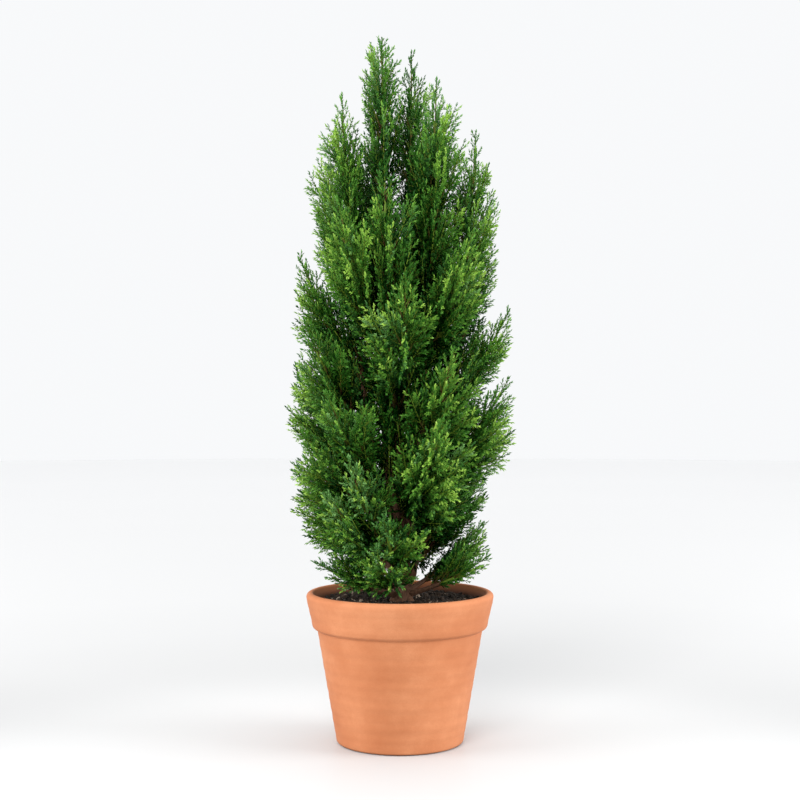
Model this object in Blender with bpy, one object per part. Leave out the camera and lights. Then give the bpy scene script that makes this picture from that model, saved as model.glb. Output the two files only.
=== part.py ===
"""A dwarf cypress in a terracotta pot, the small kind that is sold as a table-top christmas tree.

The plant stands on the compost in its pot. A short trunk with a flared foot runs up through the crown as the main
leader. Upright stems rise beside it from the foot, low boughs carry the skirt, and every limb ends in a mass of
foliage: a three-sided stem with toothed sprays of needles on it. Metres, +Z up, origin under the middle of the pot.
"""

import math

import bmesh
import bpy
import numpy as np
from mathutils import Vector
from mathutils.kdtree import KDTree

MM = 0.001

# Whole object
TOTAL_HEIGHT = 305 * MM
GAP = 0.3 * MM  # between one solid and what it sits on

# Pot, turned round Z
POT_HEIGHT = 64.5 * MM
LIP_RADIUS = 40.5 * MM
LIP_INNER_RADIUS = 37.4 * MM
LIP_ROUNDING = 2.0 * MM
LIP_INNER_ROUNDING = 0.9 * MM
BAND_BOTTOM_RADIUS = 37.8 * MM
BAND_BOTTOM_HEIGHT = 50.6 * MM
LEDGE_ROUNDING = 1.6 * MM
WALL_TOP_RADIUS = 35.6 * MM
WALL_TOP_HEIGHT = 47.8 * MM
FOOT_RADIUS = 27.5 * MM
FOOT_ROUNDING = 1.2 * MM
WALL = 3.0 * MM
FLOOR = 5.0 * MM
POT_STEPS = 40

# Compost, a plug that fills the pot
COMPOST_LEVEL = 60.0 * MM
COMPOST_STEPS = 32

# Trunk, which leans to the left and ends inside the leader
TRUNK_FOOT = Vector((1.0 * MM, 0, COMPOST_LEVEL + GAP))
TRUNK_TIP = Vector((-7.2 * MM, 0, 238 * MM))
TRUNK_BOW = 1.5 * MM
TRUNK_RADIUS = 2.7 * MM
TRUNK_TIP_RADIUS = 0.9 * MM
FLARE = 2.6 * MM
FLARE_HEIGHT = 4.5 * MM
ROOT_LOBES = 5
LOBE_DEPTH = 0.16
TRUNK_SIDES = 10
TRUNK_RINGS = 15

# Crown outline: how far the foliage reaches from the pot's axis at a height
CROWN_OUTLINE = (
    (66 * MM, 27 * MM),
    (76 * MM, 38 * MM),
    (90 * MM, 47 * MM),
    (108 * MM, 51.5 * MM),
    (140 * MM, 51.5 * MM),
    (172 * MM, 49 * MM),
    (208 * MM, 45 * MM),
    (234 * MM, 43 * MM),
    (264 * MM, 35 * MM),
    (284 * MM, 27 * MM),
    (305 * MM, 14 * MM),
)

# Upright stems: foot height, foot azimuth, tip x, y, z, and the share of the way that is a bare bough
STEMS = {
    "left": (68 * MM, 185, -25.0 * MM, -3.0 * MM, 278.5 * MM, 0.50),
    "right": (68 * MM, 2, 33.0 * MM, 1.0 * MM, 263.5 * MM, 0.46),
    "back_left": (69 * MM, 133, -13.0 * MM, 24.0 * MM, 268 * MM, 0.48),
    "third": (70 * MM, 308, 15.6 * MM, -9.0 * MM, 284 * MM, 0.52),
    "second": (75 * MM, 36, 5.0 * MM, 9.0 * MM, 299.5 * MM, 0.56),
    "front": (75 * MM, 246, -6.5 * MM, -24.0 * MM, 247 * MM, 0.44),
    "back_right": (72 * MM, 82, 12.0 * MM, 29.0 * MM, 256 * MM, 0.44),
}
STEM_RADIUS = 1.45 * MM
STEM_TIP_RADIUS = 0.9 * MM
STEM_OUT = 0.75  # how far along its run outwards a stem's bend lies
STEM_RISE = 0.35  # and how far up its rise

# Side limbs, spread round the trunk by the golden angle. The lowest are the skirt's bare boughs.
GOLDEN_ANGLE = 137.508
SIDE_LIMBS = 32
SIDE_START = 205.0
SIDE_LOWEST_TIP = 79 * MM
SIDE_HIGHEST_TIP = 243 * MM
SIDE_CROWDING = 1.25  # over 1, the lower side limbs stand closer together
SIDE_LOWEST_FOOT = 71 * MM
SIDE_DROP = 68 * MM  # a side limb's foot lies this far below its tip
SIDE_LOW_LIFT = 20 * MM  # less this much at the bottom, where the limbs spread more
SIDE_OUT = 0.62
SIDE_RISE = 0.36
SKIRT_BOUGHS = 6
SKIRT_FOOT = 63.4 * MM
SKIRT_STEP = 0.4 * MM
SKIRT_RADIUS = 1.1 * MM
SKIRT_BARE = 0.34
TURNS = range(-48, 49, 4)  # degrees that a limb may be turned by to clear the others
RISES = range(0, 19, 3)  # and millimetres that its foot may be raised by
LIMB_CLEARANCE = 0.9 * MM
BOUGH_SIDES = 6
BOUGH_RINGS = 6

# Foliage
STEM_BARE = 0.12  # share of a mass's stem with no spray on it
STEM_RINGS = 5
TWIG_RADIUS = 0.95 * MM
TWIG_TIP_RADIUS = 0.45 * MM
SPRAY_SPACING = 11.0 * MM
SPRAY_RATIO = 0.55  # a spray's length against its distance from its stem's tip
SPRAY_LONGEST = 36 * MM
SPRAY_SHORTEST = 9 * MM
SPRAY_ANGLE = 40.0
SPRAY_UPWARD = 0.35  # how far a spray at the top is pulled towards the upright, and less lower down
SPRAY_LIFT = 0.12  # how far it curves up, against its length
SPRAY_WIDTH = 0.24  # half its width, against its length
SPRAY_RIB = 0.45 * MM
SPRAY_TEETH = (  # along the rib, along the edge, and out, as shares: two pairs of teeth, one notch
    (0.18, 0.44, 1.0),
    (0.42, 0.50, 0.24),
    (0.58, 0.80, 0.68),
)
LONG_SPRAY = 21 * MM  # from this length on a spray has three pairs of teeth
LONG_SPRAY_TEETH = (
    (0.13, 0.34, 1.0),
    (0.31, 0.39, 0.28),
    (0.42, 0.60, 0.84),
    (0.57, 0.65, 0.22),
    (0.68, 0.86, 0.54),
)
TIP_SPRAY = 13 * MM
TIP_OVERLAP = 1.6 * MM
SPRAY_SHRINKS = (1.0, 0.84, 0.7, 0.58, 0.48)
SPRAY_ROLLS = (0, 24, -24, 48, -48)  # degrees that a spray may turn round its stem to find room
WELD = 0.01 * MM
SPACE_MARGIN = 0.45 * MM
ROOT_ROOM = 3.5 * MM  # sprays of one mass may be this near their stem and touch
SPRAY_ROOM = 1.5 * MM  # and further out they lie this far apart
PATH_POINTS = 200
SEED = 36

for old in list(bpy.data.objects):
    bpy.data.objects.remove(old)


def random_of(*keys):
    """A number from 0 to 1 that is always the same for the same whole numbers."""
    return float(np.random.default_rng((SEED, *keys)).random())


def material(name, colour, roughness):
    made = bpy.data.materials.new(name)
    made.use_nodes = True
    shader = made.node_tree.nodes["Principled BSDF"]
    shader.inputs["Base Color"].default_value = (*colour, 1)
    shader.inputs["Roughness"].default_value = roughness
    shader.inputs["Metallic"].default_value = 0
    return made


TERRACOTTA = material("terracotta", (0.72, 0.29, 0.13), 0.85)
COMPOST = material("compost", (0.03, 0.02, 0.014), 0.95)
BARK = material("bark", (0.16, 0.075, 0.04), 0.9)
FOLIAGE = material("foliage", (0.07, 0.17, 0.05), 0.6)


def add_object(name, mesh, finish):
    made = bpy.data.objects.new(name, mesh)
    made.data.materials.append(finish)
    bpy.context.scene.collection.objects.link(made)
    return made


def arc(centre_r, centre_z, radius, start, end, steps):
    """Profile points (r, z) on a round corner, from one angle to another in degrees."""
    angles = [math.radians(start + (end - start) * i / steps) for i in range(steps + 1)]
    return [(centre_r + radius * math.cos(a), centre_z + radius * math.sin(a)) for a in angles]


def turned(name, profile, steps, finish):
    """A solid of revolution. Its profile runs from the axis to the axis, down the outer side."""
    mesh = bpy.data.meshes.new(name)
    edges = [(i, i + 1) for i in range(len(profile) - 1)]
    mesh.from_pydata([(r, 0, z) for r, z in profile], edges, [])
    made = add_object(name, mesh, finish)
    screw = made.modifiers.new("turn", "SCREW")
    screw.steps = screw.render_steps = steps
    screw.use_merge_vertices = True
    screw.merge_threshold = 0.00005
    screw.use_smooth_shade = True
    return made


# ---- Pot and compost


def inner_radius(height):
    """The pot's inner wall: it flares from the floor to the ledge, and more to the lip."""
    floor_r = FOOT_RADIUS - WALL
    ledge_r = WALL_TOP_RADIUS - WALL
    if height < WALL_TOP_HEIGHT:
        return floor_r + (ledge_r - floor_r) * (height - FLOOR) / (WALL_TOP_HEIGHT - FLOOR)
    share = (height - WALL_TOP_HEIGHT) / (POT_HEIGHT - LIP_INNER_ROUNDING - WALL_TOP_HEIGHT)
    return ledge_r + (LIP_INNER_RADIUS - ledge_r) * share


def make_pot():
    lip_z = POT_HEIGHT - LIP_ROUNDING
    inner_lip = LIP_INNER_RADIUS + LIP_INNER_ROUNDING
    profile = [(0, FLOOR), (inner_radius(FLOOR), FLOOR)]
    profile += [(inner_radius(WALL_TOP_HEIGHT), WALL_TOP_HEIGHT)]
    profile += arc(inner_lip, POT_HEIGHT - LIP_INNER_ROUNDING, LIP_INNER_ROUNDING, 180, 90, 2)
    profile += arc(LIP_RADIUS - LIP_ROUNDING, lip_z, LIP_ROUNDING, 90, -5, 4)
    profile += arc(
        BAND_BOTTOM_RADIUS - LEDGE_ROUNDING, BAND_BOTTOM_HEIGHT, LEDGE_ROUNDING, -5, -75, 2
    )
    profile += [(WALL_TOP_RADIUS, WALL_TOP_HEIGHT)]
    profile += arc(FOOT_RADIUS - FOOT_ROUNDING, FOOT_ROUNDING, FOOT_ROUNDING, -5, -90, 2)
    profile += [(0, 0)]
    turned("pot", profile, POT_STEPS, TERRACOTTA)


def make_compost():
    bottom = FLOOR + GAP
    heights = (COMPOST_LEVEL, WALL_TOP_HEIGHT, bottom)
    sides = [(inner_radius(z) - GAP / math.cos(math.pi / COMPOST_STEPS), z) for z in heights]
    profile = [(0, COMPOST_LEVEL), *sides, (0, bottom)]
    turned("compost", profile, COMPOST_STEPS, COMPOST)


# ---- Trunk


def trunk_centre(z):
    share = (z - TRUNK_FOOT.z) / (TRUNK_TIP.z - TRUNK_FOOT.z)
    share = min(max(share, 0.0), 1.0)
    x = TRUNK_FOOT.x + (TRUNK_TIP.x - TRUNK_FOOT.x) * share**1.3
    return Vector((x, TRUNK_BOW * math.sin(math.pi * share), z))


def trunk_radius(z, angle=None):
    """The trunk's radius at a height, with the root flare, whose lobes show at an angle."""
    share = min(max((z - TRUNK_FOOT.z) / (TRUNK_TIP.z - TRUNK_FOOT.z), 0.0), 1.0)
    fade = math.exp(-max(z - TRUNK_FOOT.z, 0.0) / FLARE_HEIGHT)
    radius = TRUNK_RADIUS + (TRUNK_TIP_RADIUS - TRUNK_RADIUS) * share + FLARE * fade
    if angle is None:
        return radius * (1 + LOBE_DEPTH * fade)
    return radius * (1 + LOBE_DEPTH * fade * math.cos(ROOT_LOBES * angle))


def make_trunk():
    """Rings stand closest together in the flare."""
    mesh = bpy.data.meshes.new("trunk")
    bm = bmesh.new()
    rings = []
    for i in range(TRUNK_RINGS):
        share = (i / (TRUNK_RINGS - 1)) ** 1.8
        z = TRUNK_FOOT.z + (TRUNK_TIP.z - TRUNK_FOOT.z) * share
        centre = trunk_centre(z)
        ring = []
        for k in range(TRUNK_SIDES):
            angle = 2 * math.pi * k / TRUNK_SIDES
            r = trunk_radius(z, angle)
            ring.append(bm.verts.new(centre + Vector((r * math.cos(angle), r * math.sin(angle), 0))))
        rings.append(ring)
    skin(bm, rings)
    bm.to_mesh(mesh)
    bm.free()
    add_object("trunk", mesh, BARK)


def skin(bm, rings):
    """Quads between rings, and a flat cap on each end."""
    for low, high in zip(rings, rings[1:]):
        for k in range(len(low)):
            n = (k + 1) % len(low)
            bm.faces.new((low[k], low[n], high[n], high[k]))
    bm.faces.new(reversed(rings[0]))
    bm.faces.new(rings[-1])


# ---- Limbs: each is one curve from the trunk to the tip of its foliage


def polar(azimuth, reach, z):
    angle = math.radians(azimuth)
    return Vector((reach * math.cos(angle), reach * math.sin(angle), z))


def crown_reach(z):
    heights, reaches = zip(*CROWN_OUTLINE)
    return float(np.interp(z, heights, reaches))


def cross_section(direction):
    """Two unit vectors square to a direction, the first of them level."""
    level = Vector((0, 0, 1)).cross(direction)
    level = level.normalized() if level.length > 1e-6 else Vector((1, 0, 0))
    return level, direction.cross(level)


def trunk_room(point):
    """How far a point lies outside the trunk, measured level, or beyond its tip."""
    if point.z > TRUNK_TIP.z:
        return (point - TRUNK_TIP).length - TRUNK_TIP_RADIUS
    offset = point - trunk_centre(point.z)
    angle = math.atan2(offset.y, offset.x)
    return math.hypot(offset.x, offset.y) - trunk_radius(point.z, angle)


class Limb:
    """A quadratic curve that leaves the trunk outwards and turns up towards its tip."""

    def __init__(self, name, number, foot, tip, out, rise, bare, radius):
        self.name = name
        self.number = number
        self.foot = foot
        self.tip = tip
        run = tip - foot
        self.bend = foot + Vector((run.x * out, run.y * out, run.z * rise))
        self.bare = bare
        self.radius = radius
        self.length = sum((self.at((i + 1) / 20) - self.at(i / 20)).length for i in range(20))
        self.start = self.clear_start() if number else 0.0
        self.path = self.points(0, 1, PATH_POINTS)
        self.coarse = np.array([tuple(p) for p in self.path[::2]])

    def at(self, t):
        return (1 - t) ** 2 * self.foot + 2 * t * (1 - t) * self.bend + t * t * self.tip

    def along(self, t):
        return (2 * (1 - t) * (self.bend - self.foot) + 2 * t * (self.tip - self.bend)).normalized()

    def points(self, start, end, count):
        return [self.at(start + (end - start) * i / (count - 1)) for i in range(count)]

    def clear_start(self):
        """How far along its curve the limb's whole round stands clear of the trunk and the compost."""
        for t in np.linspace(0, 0.5, 200).tolist():
            level, up = cross_section(self.along(t))
            turns = [k * math.pi / 4 for k in range(8)]
            rim = [self.at(t) + (level * math.cos(a) + up * math.sin(a)) * self.radius for a in turns]
            if all(trunk_room(p) > 1.5 * GAP and p.z > COMPOST_LEVEL + 1.5 * GAP for p in rim):
                return t
        return 0.5


def on_trunk(z, azimuth):
    return trunk_centre(z) + polar(azimuth, trunk_radius(z), 0)


def room_between(a, b):
    """The least gap between two limbs' surfaces."""
    apart = np.linalg.norm(a.coarse[:, None] - b.coarse[None], axis=2).min()
    return float(apart) - a.radius - b.radius


def placed(limbs, make):
    """The limb that make gives for the smallest turn and rise of its foot at which it clears the others."""
    tries = sorted((abs(turn) / 4 + rise / 3, turn, rise) for turn in TURNS for rise in RISES)
    best = None
    for _, turn, rise in tries:
        limb = make(turn, rise * MM)
        room = min(room_between(limb, other) for other in limbs)
        if best is None or room > best[0]:
            best = (room, limb)
        if room > LIMB_CLEARANCE:
            break
    return best[1]


def plan_limbs():
    """The leader, the skirt's boughs, the upright stems, and the side limbs from the lowest up."""
    leader_foot = TRUNK_TIP + Vector((0, 0, GAP))
    leader_tip = Vector((-7.8 * MM, 0, TOTAL_HEIGHT))
    limbs = [Limb("leader", 0, leader_foot, leader_tip, 0.5, 0.5, 0.0, TWIG_RADIUS)]
    for name, (foot_z, azimuth, x, y, z, bare) in STEMS.items():

        def stem(turn, rise):
            foot = on_trunk(foot_z + rise, azimuth + turn)
            tip = Vector((x, y, z))
            return Limb(name, len(limbs), foot, tip, STEM_OUT, STEM_RISE, bare, STEM_RADIUS)

        limbs.append(placed(limbs, stem))
    for i in range(SIDE_LIMBS):
        share = (i / (SIDE_LIMBS - 1)) ** SIDE_CROWDING
        tip_z = SIDE_LOWEST_TIP + (SIDE_HIGHEST_TIP - SIDE_LOWEST_TIP) * share
        reach = crown_reach(tip_z) * (0.93 + 0.07 * random_of(i, 2))
        skirt = i < SKIRT_BOUGHS
        foot_z = SKIRT_FOOT + SKIRT_STEP * i
        if not skirt:
            foot_z = max(SIDE_LOWEST_FOOT, tip_z - SIDE_DROP + SIDE_LOW_LIFT * (1 - share))
        bare = SKIRT_BARE if skirt else 0.0
        radius = SKIRT_RADIUS if skirt else TWIG_RADIUS

        def side_limb(turn, rise):
            azimuth = SIDE_START + GOLDEN_ANGLE * i + turn
            foot, tip = on_trunk(foot_z + rise, azimuth), polar(azimuth, reach, tip_z)
            name = f"side_{i + 1:02d}"
            return Limb(name, len(limbs), foot, tip, SIDE_OUT, SIDE_RISE, bare, radius)

        limbs.append(placed(limbs, side_limb))
    return limbs


def seat(point, direction):
    """Slides a point back along a limb's direction, while that brings it nearer the trunk's surface."""
    step = 0.05 * MM
    for _ in range(100):
        back = point - direction * step
        room = trunk_room(back)
        if room < 1.4 * GAP or room > trunk_room(point) or back.z < COMPOST_LEVEL + 1.3 * GAP:
            return point
        point = back
    return point


def tube(bm, points, radii, sides, seated):
    """A tapering limb through points. Where seated, its foot is shaped to the trunk."""
    rings = []
    for i, point in enumerate(points):
        ahead = points[min(i + 1, len(points) - 1)]
        behind = points[max(i - 1, 0)]
        direction = (ahead - behind).normalized()
        level, up = cross_section(direction)
        ring = []
        for k in range(sides):
            angle = 2 * math.pi * k / sides
            corner = point + (level * math.cos(angle) + up * math.sin(angle)) * radii[i]
            if seated and i == 0:
                corner = seat(corner, direction)
            ring.append(bm.verts.new(corner))
        rings.append(ring)
    skin(bm, rings)


def make_bough(limb):
    points = limb.points(limb.start, limb.bare, BOUGH_RINGS)
    taper = (limb.radius - STEM_TIP_RADIUS) / (BOUGH_RINGS - 1)
    radii = [limb.radius - taper * i for i in range(BOUGH_RINGS)]
    mesh = bpy.data.meshes.new(f"bough_{limb.name}")
    bm = bmesh.new()
    tube(bm, points, radii, BOUGH_SIDES, seated=True)
    bm.to_mesh(mesh)
    bm.free()
    add_object(f"bough_{limb.name}", mesh, BARK)


# ---- Foliage


def leafy_start(limb):
    """Where a mass's own stem begins on its limb: past the bough's tip, or off the trunk."""
    return limb.bare + GAP / limb.length if limb.bare else limb.start


def stem_points(limb):
    """The corners of a mass's stem, which ends just inside the spray at its tip."""
    return limb.points(leafy_start(limb), 1 - (TIP_SPRAY - TIP_OVERLAP) / limb.length, STEM_RINGS)


def on_stem(limb, from_tip):
    """The point of the stem's middle line that lies this far from the limb's tip."""
    points = stem_points(limb)
    start, end = leafy_start(limb), 1 - (TIP_SPRAY - TIP_OVERLAP) / limb.length
    place = (1 - from_tip / limb.length - start) / (end - start) * (STEM_RINGS - 1)
    i = min(int(place), STEM_RINGS - 2)
    return points[i].lerp(points[i + 1], place - i)


class Spray:
    """A toothed blade: a narrow plume of needles, flat in the plane of its stem and its own direction."""

    def __init__(self, root, along, away, angle, length, upward):
        direction = along * math.cos(angle) + away * math.sin(angle) + Vector((0, 0, upward))
        direction.normalize()
        face = away.cross(along)
        face = (face - direction * face.dot(direction)).normalized()
        across = direction.cross(face).normalized()
        lift = Vector((0, 0, SPRAY_LIFT * length))
        self.root = root
        self.tip = root + direction * length + lift
        self.rings = []
        for rib, side, reach in SPRAY_TEETH if length < LONG_SPRAY else LONG_SPRAY_TEETH:
            half = SPRAY_WIDTH * length * reach
            centre = root + direction * length * rib + lift * rib**2
            edge = root + direction * length * side + lift * side**2
            self.rings.append(
                (edge + across * half, centre + face * SPRAY_RIB, edge - across * half)
            )

    def samples(self):
        """Points spread over the blade, for telling whether it keeps to its space."""
        stations = [(self.root,) * 3, *self.rings, (self.tip,) * 3]
        found = []
        for low, high in zip(stations, stations[1:]):
            for share in (0.2, 0.4, 0.6, 0.8, 1.0):
                left, rib, right = [a.lerp(b, share) for a, b in zip(low, high)]
                found += [left, left.lerp(rib, 0.33), left.lerp(rib, 0.67), rib]
                found += [right, right.lerp(rib, 0.33), right.lerp(rib, 0.67)]
        return found

    def solid(self, name):
        """The blade as its own object, ready for the union."""
        mesh = bpy.data.meshes.new(name)
        bm = bmesh.new()
        made = [[bm.verts.new(p) for p in ring] for ring in self.rings]
        heel, point = bm.verts.new(self.root), bm.verts.new(self.tip)
        for low, high in zip(made, made[1:]):
            for edge in (0, 2):
                bm.faces.new((low[1], low[edge], high[edge]))
                bm.faces.new((low[1], high[edge], high[1]))
            bm.faces.new((low[0], low[2], high[2], high[0]))
        for k in range(3):
            bm.faces.new((made[0][(k + 1) % 3], made[0][k], heel))
            bm.faces.new((made[-1][k], made[-1][(k + 1) % 3], point))
        bmesh.ops.recalc_face_normals(bm, faces=bm.faces)
        bm.to_mesh(mesh)
        bm.free()
        return bpy.data.objects.new(name, mesh)


def tree_of(points):
    tree = KDTree(len(points))
    for i, point in enumerate(points):
        tree.insert(point, i)
    tree.balance()
    return tree


class Space:
    """What a limb's foliage keeps to: nearer its own curve than any other, inside the crown's outline."""

    def __init__(self, limb, limbs, bare):
        self.own = tree_of(limb.path)
        self.others = tree_of([p for other in limbs if other is not limb for p in other.path])
        self.bare = bare
        self.filled = []
        self.leafy = None

    def take(self, spray):
        self.filled += [p for p in spray.samples() if self.own.find(p)[2] > ROOT_ROOM]
        self.leafy = tree_of(self.filled)

    def holds(self, points):
        for point in points:
            if math.hypot(point.x, point.y) > crown_reach(point.z):
                return False
            if point.z < POT_HEIGHT + 2 * GAP or trunk_room(point) < SPACE_MARGIN:
                return False
            mine = max(self.own.find(point)[2], TWIG_RADIUS)
            if self.others.find(point)[2] < mine + SPACE_MARGIN:
                return False
            if self.filled and mine > ROOT_ROOM and self.leafy.find(point)[2] < SPRAY_ROOM:
                return False
            if self.bare.find(point)[2] < STEM_RADIUS + SPACE_MARGIN:
                return False
        return True


def tip_spray(limb):
    root = on_stem(limb, TIP_SPRAY)
    run = limb.tip - root
    outward = Vector((limb.tip.x, limb.tip.y, 0))
    outward = (outward - run * outward.dot(run) / run.length_squared).normalized()
    side = (outward + run.cross(outward).normalized()).normalized()
    spray = Spray(root, run.normalized(), side, 0, run.length, 0)
    spray.tip = limb.tip
    return spray


def sprays_on(limb, space):
    """The sprays of a mass, each side one turned or shortened until its space holds it."""
    leafy = (1 - leafy_start(limb)) * (1 - STEM_BARE) * limb.length
    found = [tip_spray(limb)]
    space.take(found[0])
    for i in range(int(2 * (leafy - TIP_SPRAY) / SPRAY_SPACING + 0.5)):
        side = -1 if i % 2 else 1
        from_tip = TIP_SPRAY + (i + 0.4 * random_of(limb.number, i, 3)) * SPRAY_SPACING / 2
        t = 1 - from_tip / limb.length
        root, along = on_stem(limb, from_tip), limb.along(t)
        outward = Vector((root.x, root.y, 0)) - along * along.dot(Vector((root.x, root.y, 0)))
        outward = outward.normalized() if outward.length > 1e-6 else cross_section(along)[0]
        tangent = along.cross(outward)
        roll = side * ((76 if i % 4 < 2 else 26) + 24 * (random_of(limb.number, i, 5) - 0.5))
        angle = math.radians(SPRAY_ANGLE + 10 * (random_of(limb.number, i, 8) - 0.5))
        length = min(SPRAY_LONGEST, SPRAY_RATIO * from_tip + 6 * MM)
        length *= 0.85 + 0.3 * random_of(limb.number, i, 11)
        upward = SPRAY_UPWARD * (root.z - POT_HEIGHT) / (TOTAL_HEIGHT - POT_HEIGHT)
        for shrink in SPRAY_SHRINKS:
            if length * shrink < SPRAY_SHORTEST:
                break
            spray = None
            for turn in SPRAY_ROLLS:
                turned = math.radians(roll + turn)
                away = outward * math.cos(turned) + tangent * math.sin(turned)
                tried = Spray(root, along, away, angle, length * shrink, upward)
                if space.holds(tried.samples()):
                    spray = tried
                    break
            if spray:
                found.append(spray)
                space.take(spray)
                break
    return found


def make_mass(limb, space):
    """The stem, its side sprays and the spray at its tip, joined by one union."""
    name = f"foliage_{limb.name}"
    mesh = bpy.data.meshes.new(name)
    bm = bmesh.new()
    points = stem_points(limb)
    radii = np.linspace(TWIG_RADIUS, TWIG_TIP_RADIUS, STEM_RINGS).tolist()
    tube(bm, points, radii, 3, seated=not limb.bare and limb.number > 0)
    bm.to_mesh(mesh)
    bm.free()
    stem = add_object(name, mesh, FOLIAGE)
    pieces = bpy.data.collections.new(name)
    for number, spray in enumerate(sprays_on(limb, space)):
        pieces.objects.link(spray.solid(f"{name}_{number}"))
    join(stem, pieces)


def join(stem, pieces):
    """One Boolean union of the stem with a collection, applied."""
    union = stem.modifiers.new("union", "BOOLEAN")
    union.operation = "UNION"
    union.operand_type = "COLLECTION"
    union.collection = pieces
    union.solver = "EXACT"
    bpy.context.view_layer.update()
    graph = bpy.context.evaluated_depsgraph_get()
    joined = bpy.data.meshes.new_from_object(stem.evaluated_get(graph))
    stem.modifiers.remove(union)
    stem.data = joined
    for piece in list(pieces.objects):
        bpy.data.objects.remove(piece)
    bpy.data.collections.remove(pieces)
    tidy(joined)


def tidy(mesh):
    """Fills sealed hollows, drops loose scraps, and closes slivers where that keeps the surface whole."""
    bm = bmesh.new()
    bm.from_mesh(mesh)
    body = max(shells(bm), key=len)
    bmesh.ops.delete(bm, geom=[face for face in bm.faces if face not in body], context="FACES")
    bm.to_mesh(mesh)
    bmesh.ops.triangulate(bm, faces=bm.faces)
    bmesh.ops.remove_doubles(bm, verts=bm.verts, dist=WELD)
    bmesh.ops.dissolve_degenerate(bm, dist=WELD, edges=bm.edges)
    if all(edge.is_manifold for edge in bm.edges):
        bm.to_mesh(mesh)
    bm.free()


def shells(bm):
    """The mesh's faces as sets, each a surface of its own: the outside, and any hollow or scrap."""
    left = set(bm.faces)
    found = []
    while left:
        shell, reached = set(), [left.pop()]
        while reached:
            face = reached.pop()
            shell.add(face)
            for edge in face.edges:
                for beyond in edge.link_faces:
                    if beyond in left:
                        left.remove(beyond)
                        reached.append(beyond)
        found.append(shell)
    return found


make_pot()
make_compost()
make_trunk()
LIMBS = plan_limbs()
BARE = []
for each in LIMBS:
    if each.bare:
        make_bough(each)
        BARE += each.points(0, each.bare, PATH_POINTS)
BARE_TREE = tree_of(BARE)
for each in LIMBS:
    make_mass(each, Space(each, LIMBS, BARE_TREE))
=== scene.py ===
"""A dwarf cypress in a terracotta pot, dressed with bark, twigs and needles over its plain solids.

The plant is grown here by the rule that its solids were made by: the same limbs and the same sprays, carried
on to side twigs, twiglets and single needles that keep to the same space. Metres, +Z up, the pot's underside at
zero.
"""

import math

import bpy
import numpy as np
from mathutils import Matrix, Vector
from mathutils.kdtree import KDTree


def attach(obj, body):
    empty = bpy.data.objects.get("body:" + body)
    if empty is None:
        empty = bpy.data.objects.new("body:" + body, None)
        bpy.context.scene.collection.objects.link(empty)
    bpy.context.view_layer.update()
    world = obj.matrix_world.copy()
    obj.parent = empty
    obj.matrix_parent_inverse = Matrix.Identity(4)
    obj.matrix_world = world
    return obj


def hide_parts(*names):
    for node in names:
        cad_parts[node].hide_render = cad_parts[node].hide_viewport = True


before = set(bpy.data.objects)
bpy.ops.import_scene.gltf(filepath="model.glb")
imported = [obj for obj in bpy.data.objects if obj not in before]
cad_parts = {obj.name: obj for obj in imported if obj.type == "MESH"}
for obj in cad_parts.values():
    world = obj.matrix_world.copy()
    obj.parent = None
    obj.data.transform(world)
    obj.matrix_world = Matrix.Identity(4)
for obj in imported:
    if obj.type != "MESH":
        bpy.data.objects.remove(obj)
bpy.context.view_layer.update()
MM = 0.001


# ---- Studio
# A table-top sweep: a wide white disc under the pot and a pale room all round it, so that it looks the same
# from every side. Broad soft lamps stand in front, above and at both sides. The camera looks level at the middle
# of the plant.

CAMERA_DISTANCE = 0.62
CAMERA_HEIGHT = 0.1474
CAMERA_LENS = 64.4
LAMPS_AIM = (0, 0, 0.14)
FLOOR_RADIUS = 3.0
ROOM_COLOUR = (0.940, 0.950, 0.962)
# The floor's colour by metres from a place in front of the pot, with light and shade painted in: bright round it,
# a painted shadow in a grey ring behind it, and whiter far out where the lamps reach less
FLOOR_PAINTED_LIGHT_CENTRE = -0.10
FLOOR_PAINTED_LIGHT_REACH = 3.2
FLOOR_PAINTED_LIGHT_TONES = (
    (0.0, 0.535), (0.10, 0.535), (0.15, 0.545), (0.19, 0.53), (0.225, 0.49), (0.26, 0.465), (0.31, 0.470),
    (0.40, 0.50), (0.55, 0.54), (0.80, 0.597), (1.0, 0.64), (1.25, 0.70), (1.6, 0.785), (2.1, 0.865),
    (3.1, 0.93),
)
LAMPS = {  # place, width, watts
    "lamp_front": ((-0.35, -1.25, 1.05), 0.7, 15.0),
    "lamp_left": ((-1.35, -0.25, 0.50), 0.8, 14.0),
    "lamp_right": ((1.35, -0.25, 0.50), 0.8, 19.0),
    "lamp_above": ((0.0, 0.1, 1.55), 1.0, 8.0),
}

scene = bpy.context.scene
scene.view_settings.view_transform = "Standard"


def link(name, data):
    """The data as an object in the scene."""
    made = bpy.data.objects.new(name, data)
    scene.collection.objects.link(made)
    return made


camera = link("camera", bpy.data.cameras.new("camera"))
camera.data.lens = CAMERA_LENS
camera.data.sensor_width = 36.0
camera.location = (0, -CAMERA_DISTANCE, CAMERA_HEIGHT)
camera.rotation_euler = (math.pi / 2, 0, 0)
scene.camera = camera

for name, (place, width, watts) in LAMPS.items():
    lamp = link(name, bpy.data.lights.new(name, "AREA"))
    lamp.data.size = width
    lamp.data.energy = watts
    lamp.location = place
    lamp.rotation_euler = (Vector(LAMPS_AIM) - Vector(place)).to_track_quat("-Z", "Y").to_euler()

room = bpy.data.worlds.new("room")
room.use_nodes = True
room.node_tree.nodes["Background"].inputs["Color"].default_value = (*ROOM_COLOUR, 1)
scene.world = room


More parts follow.
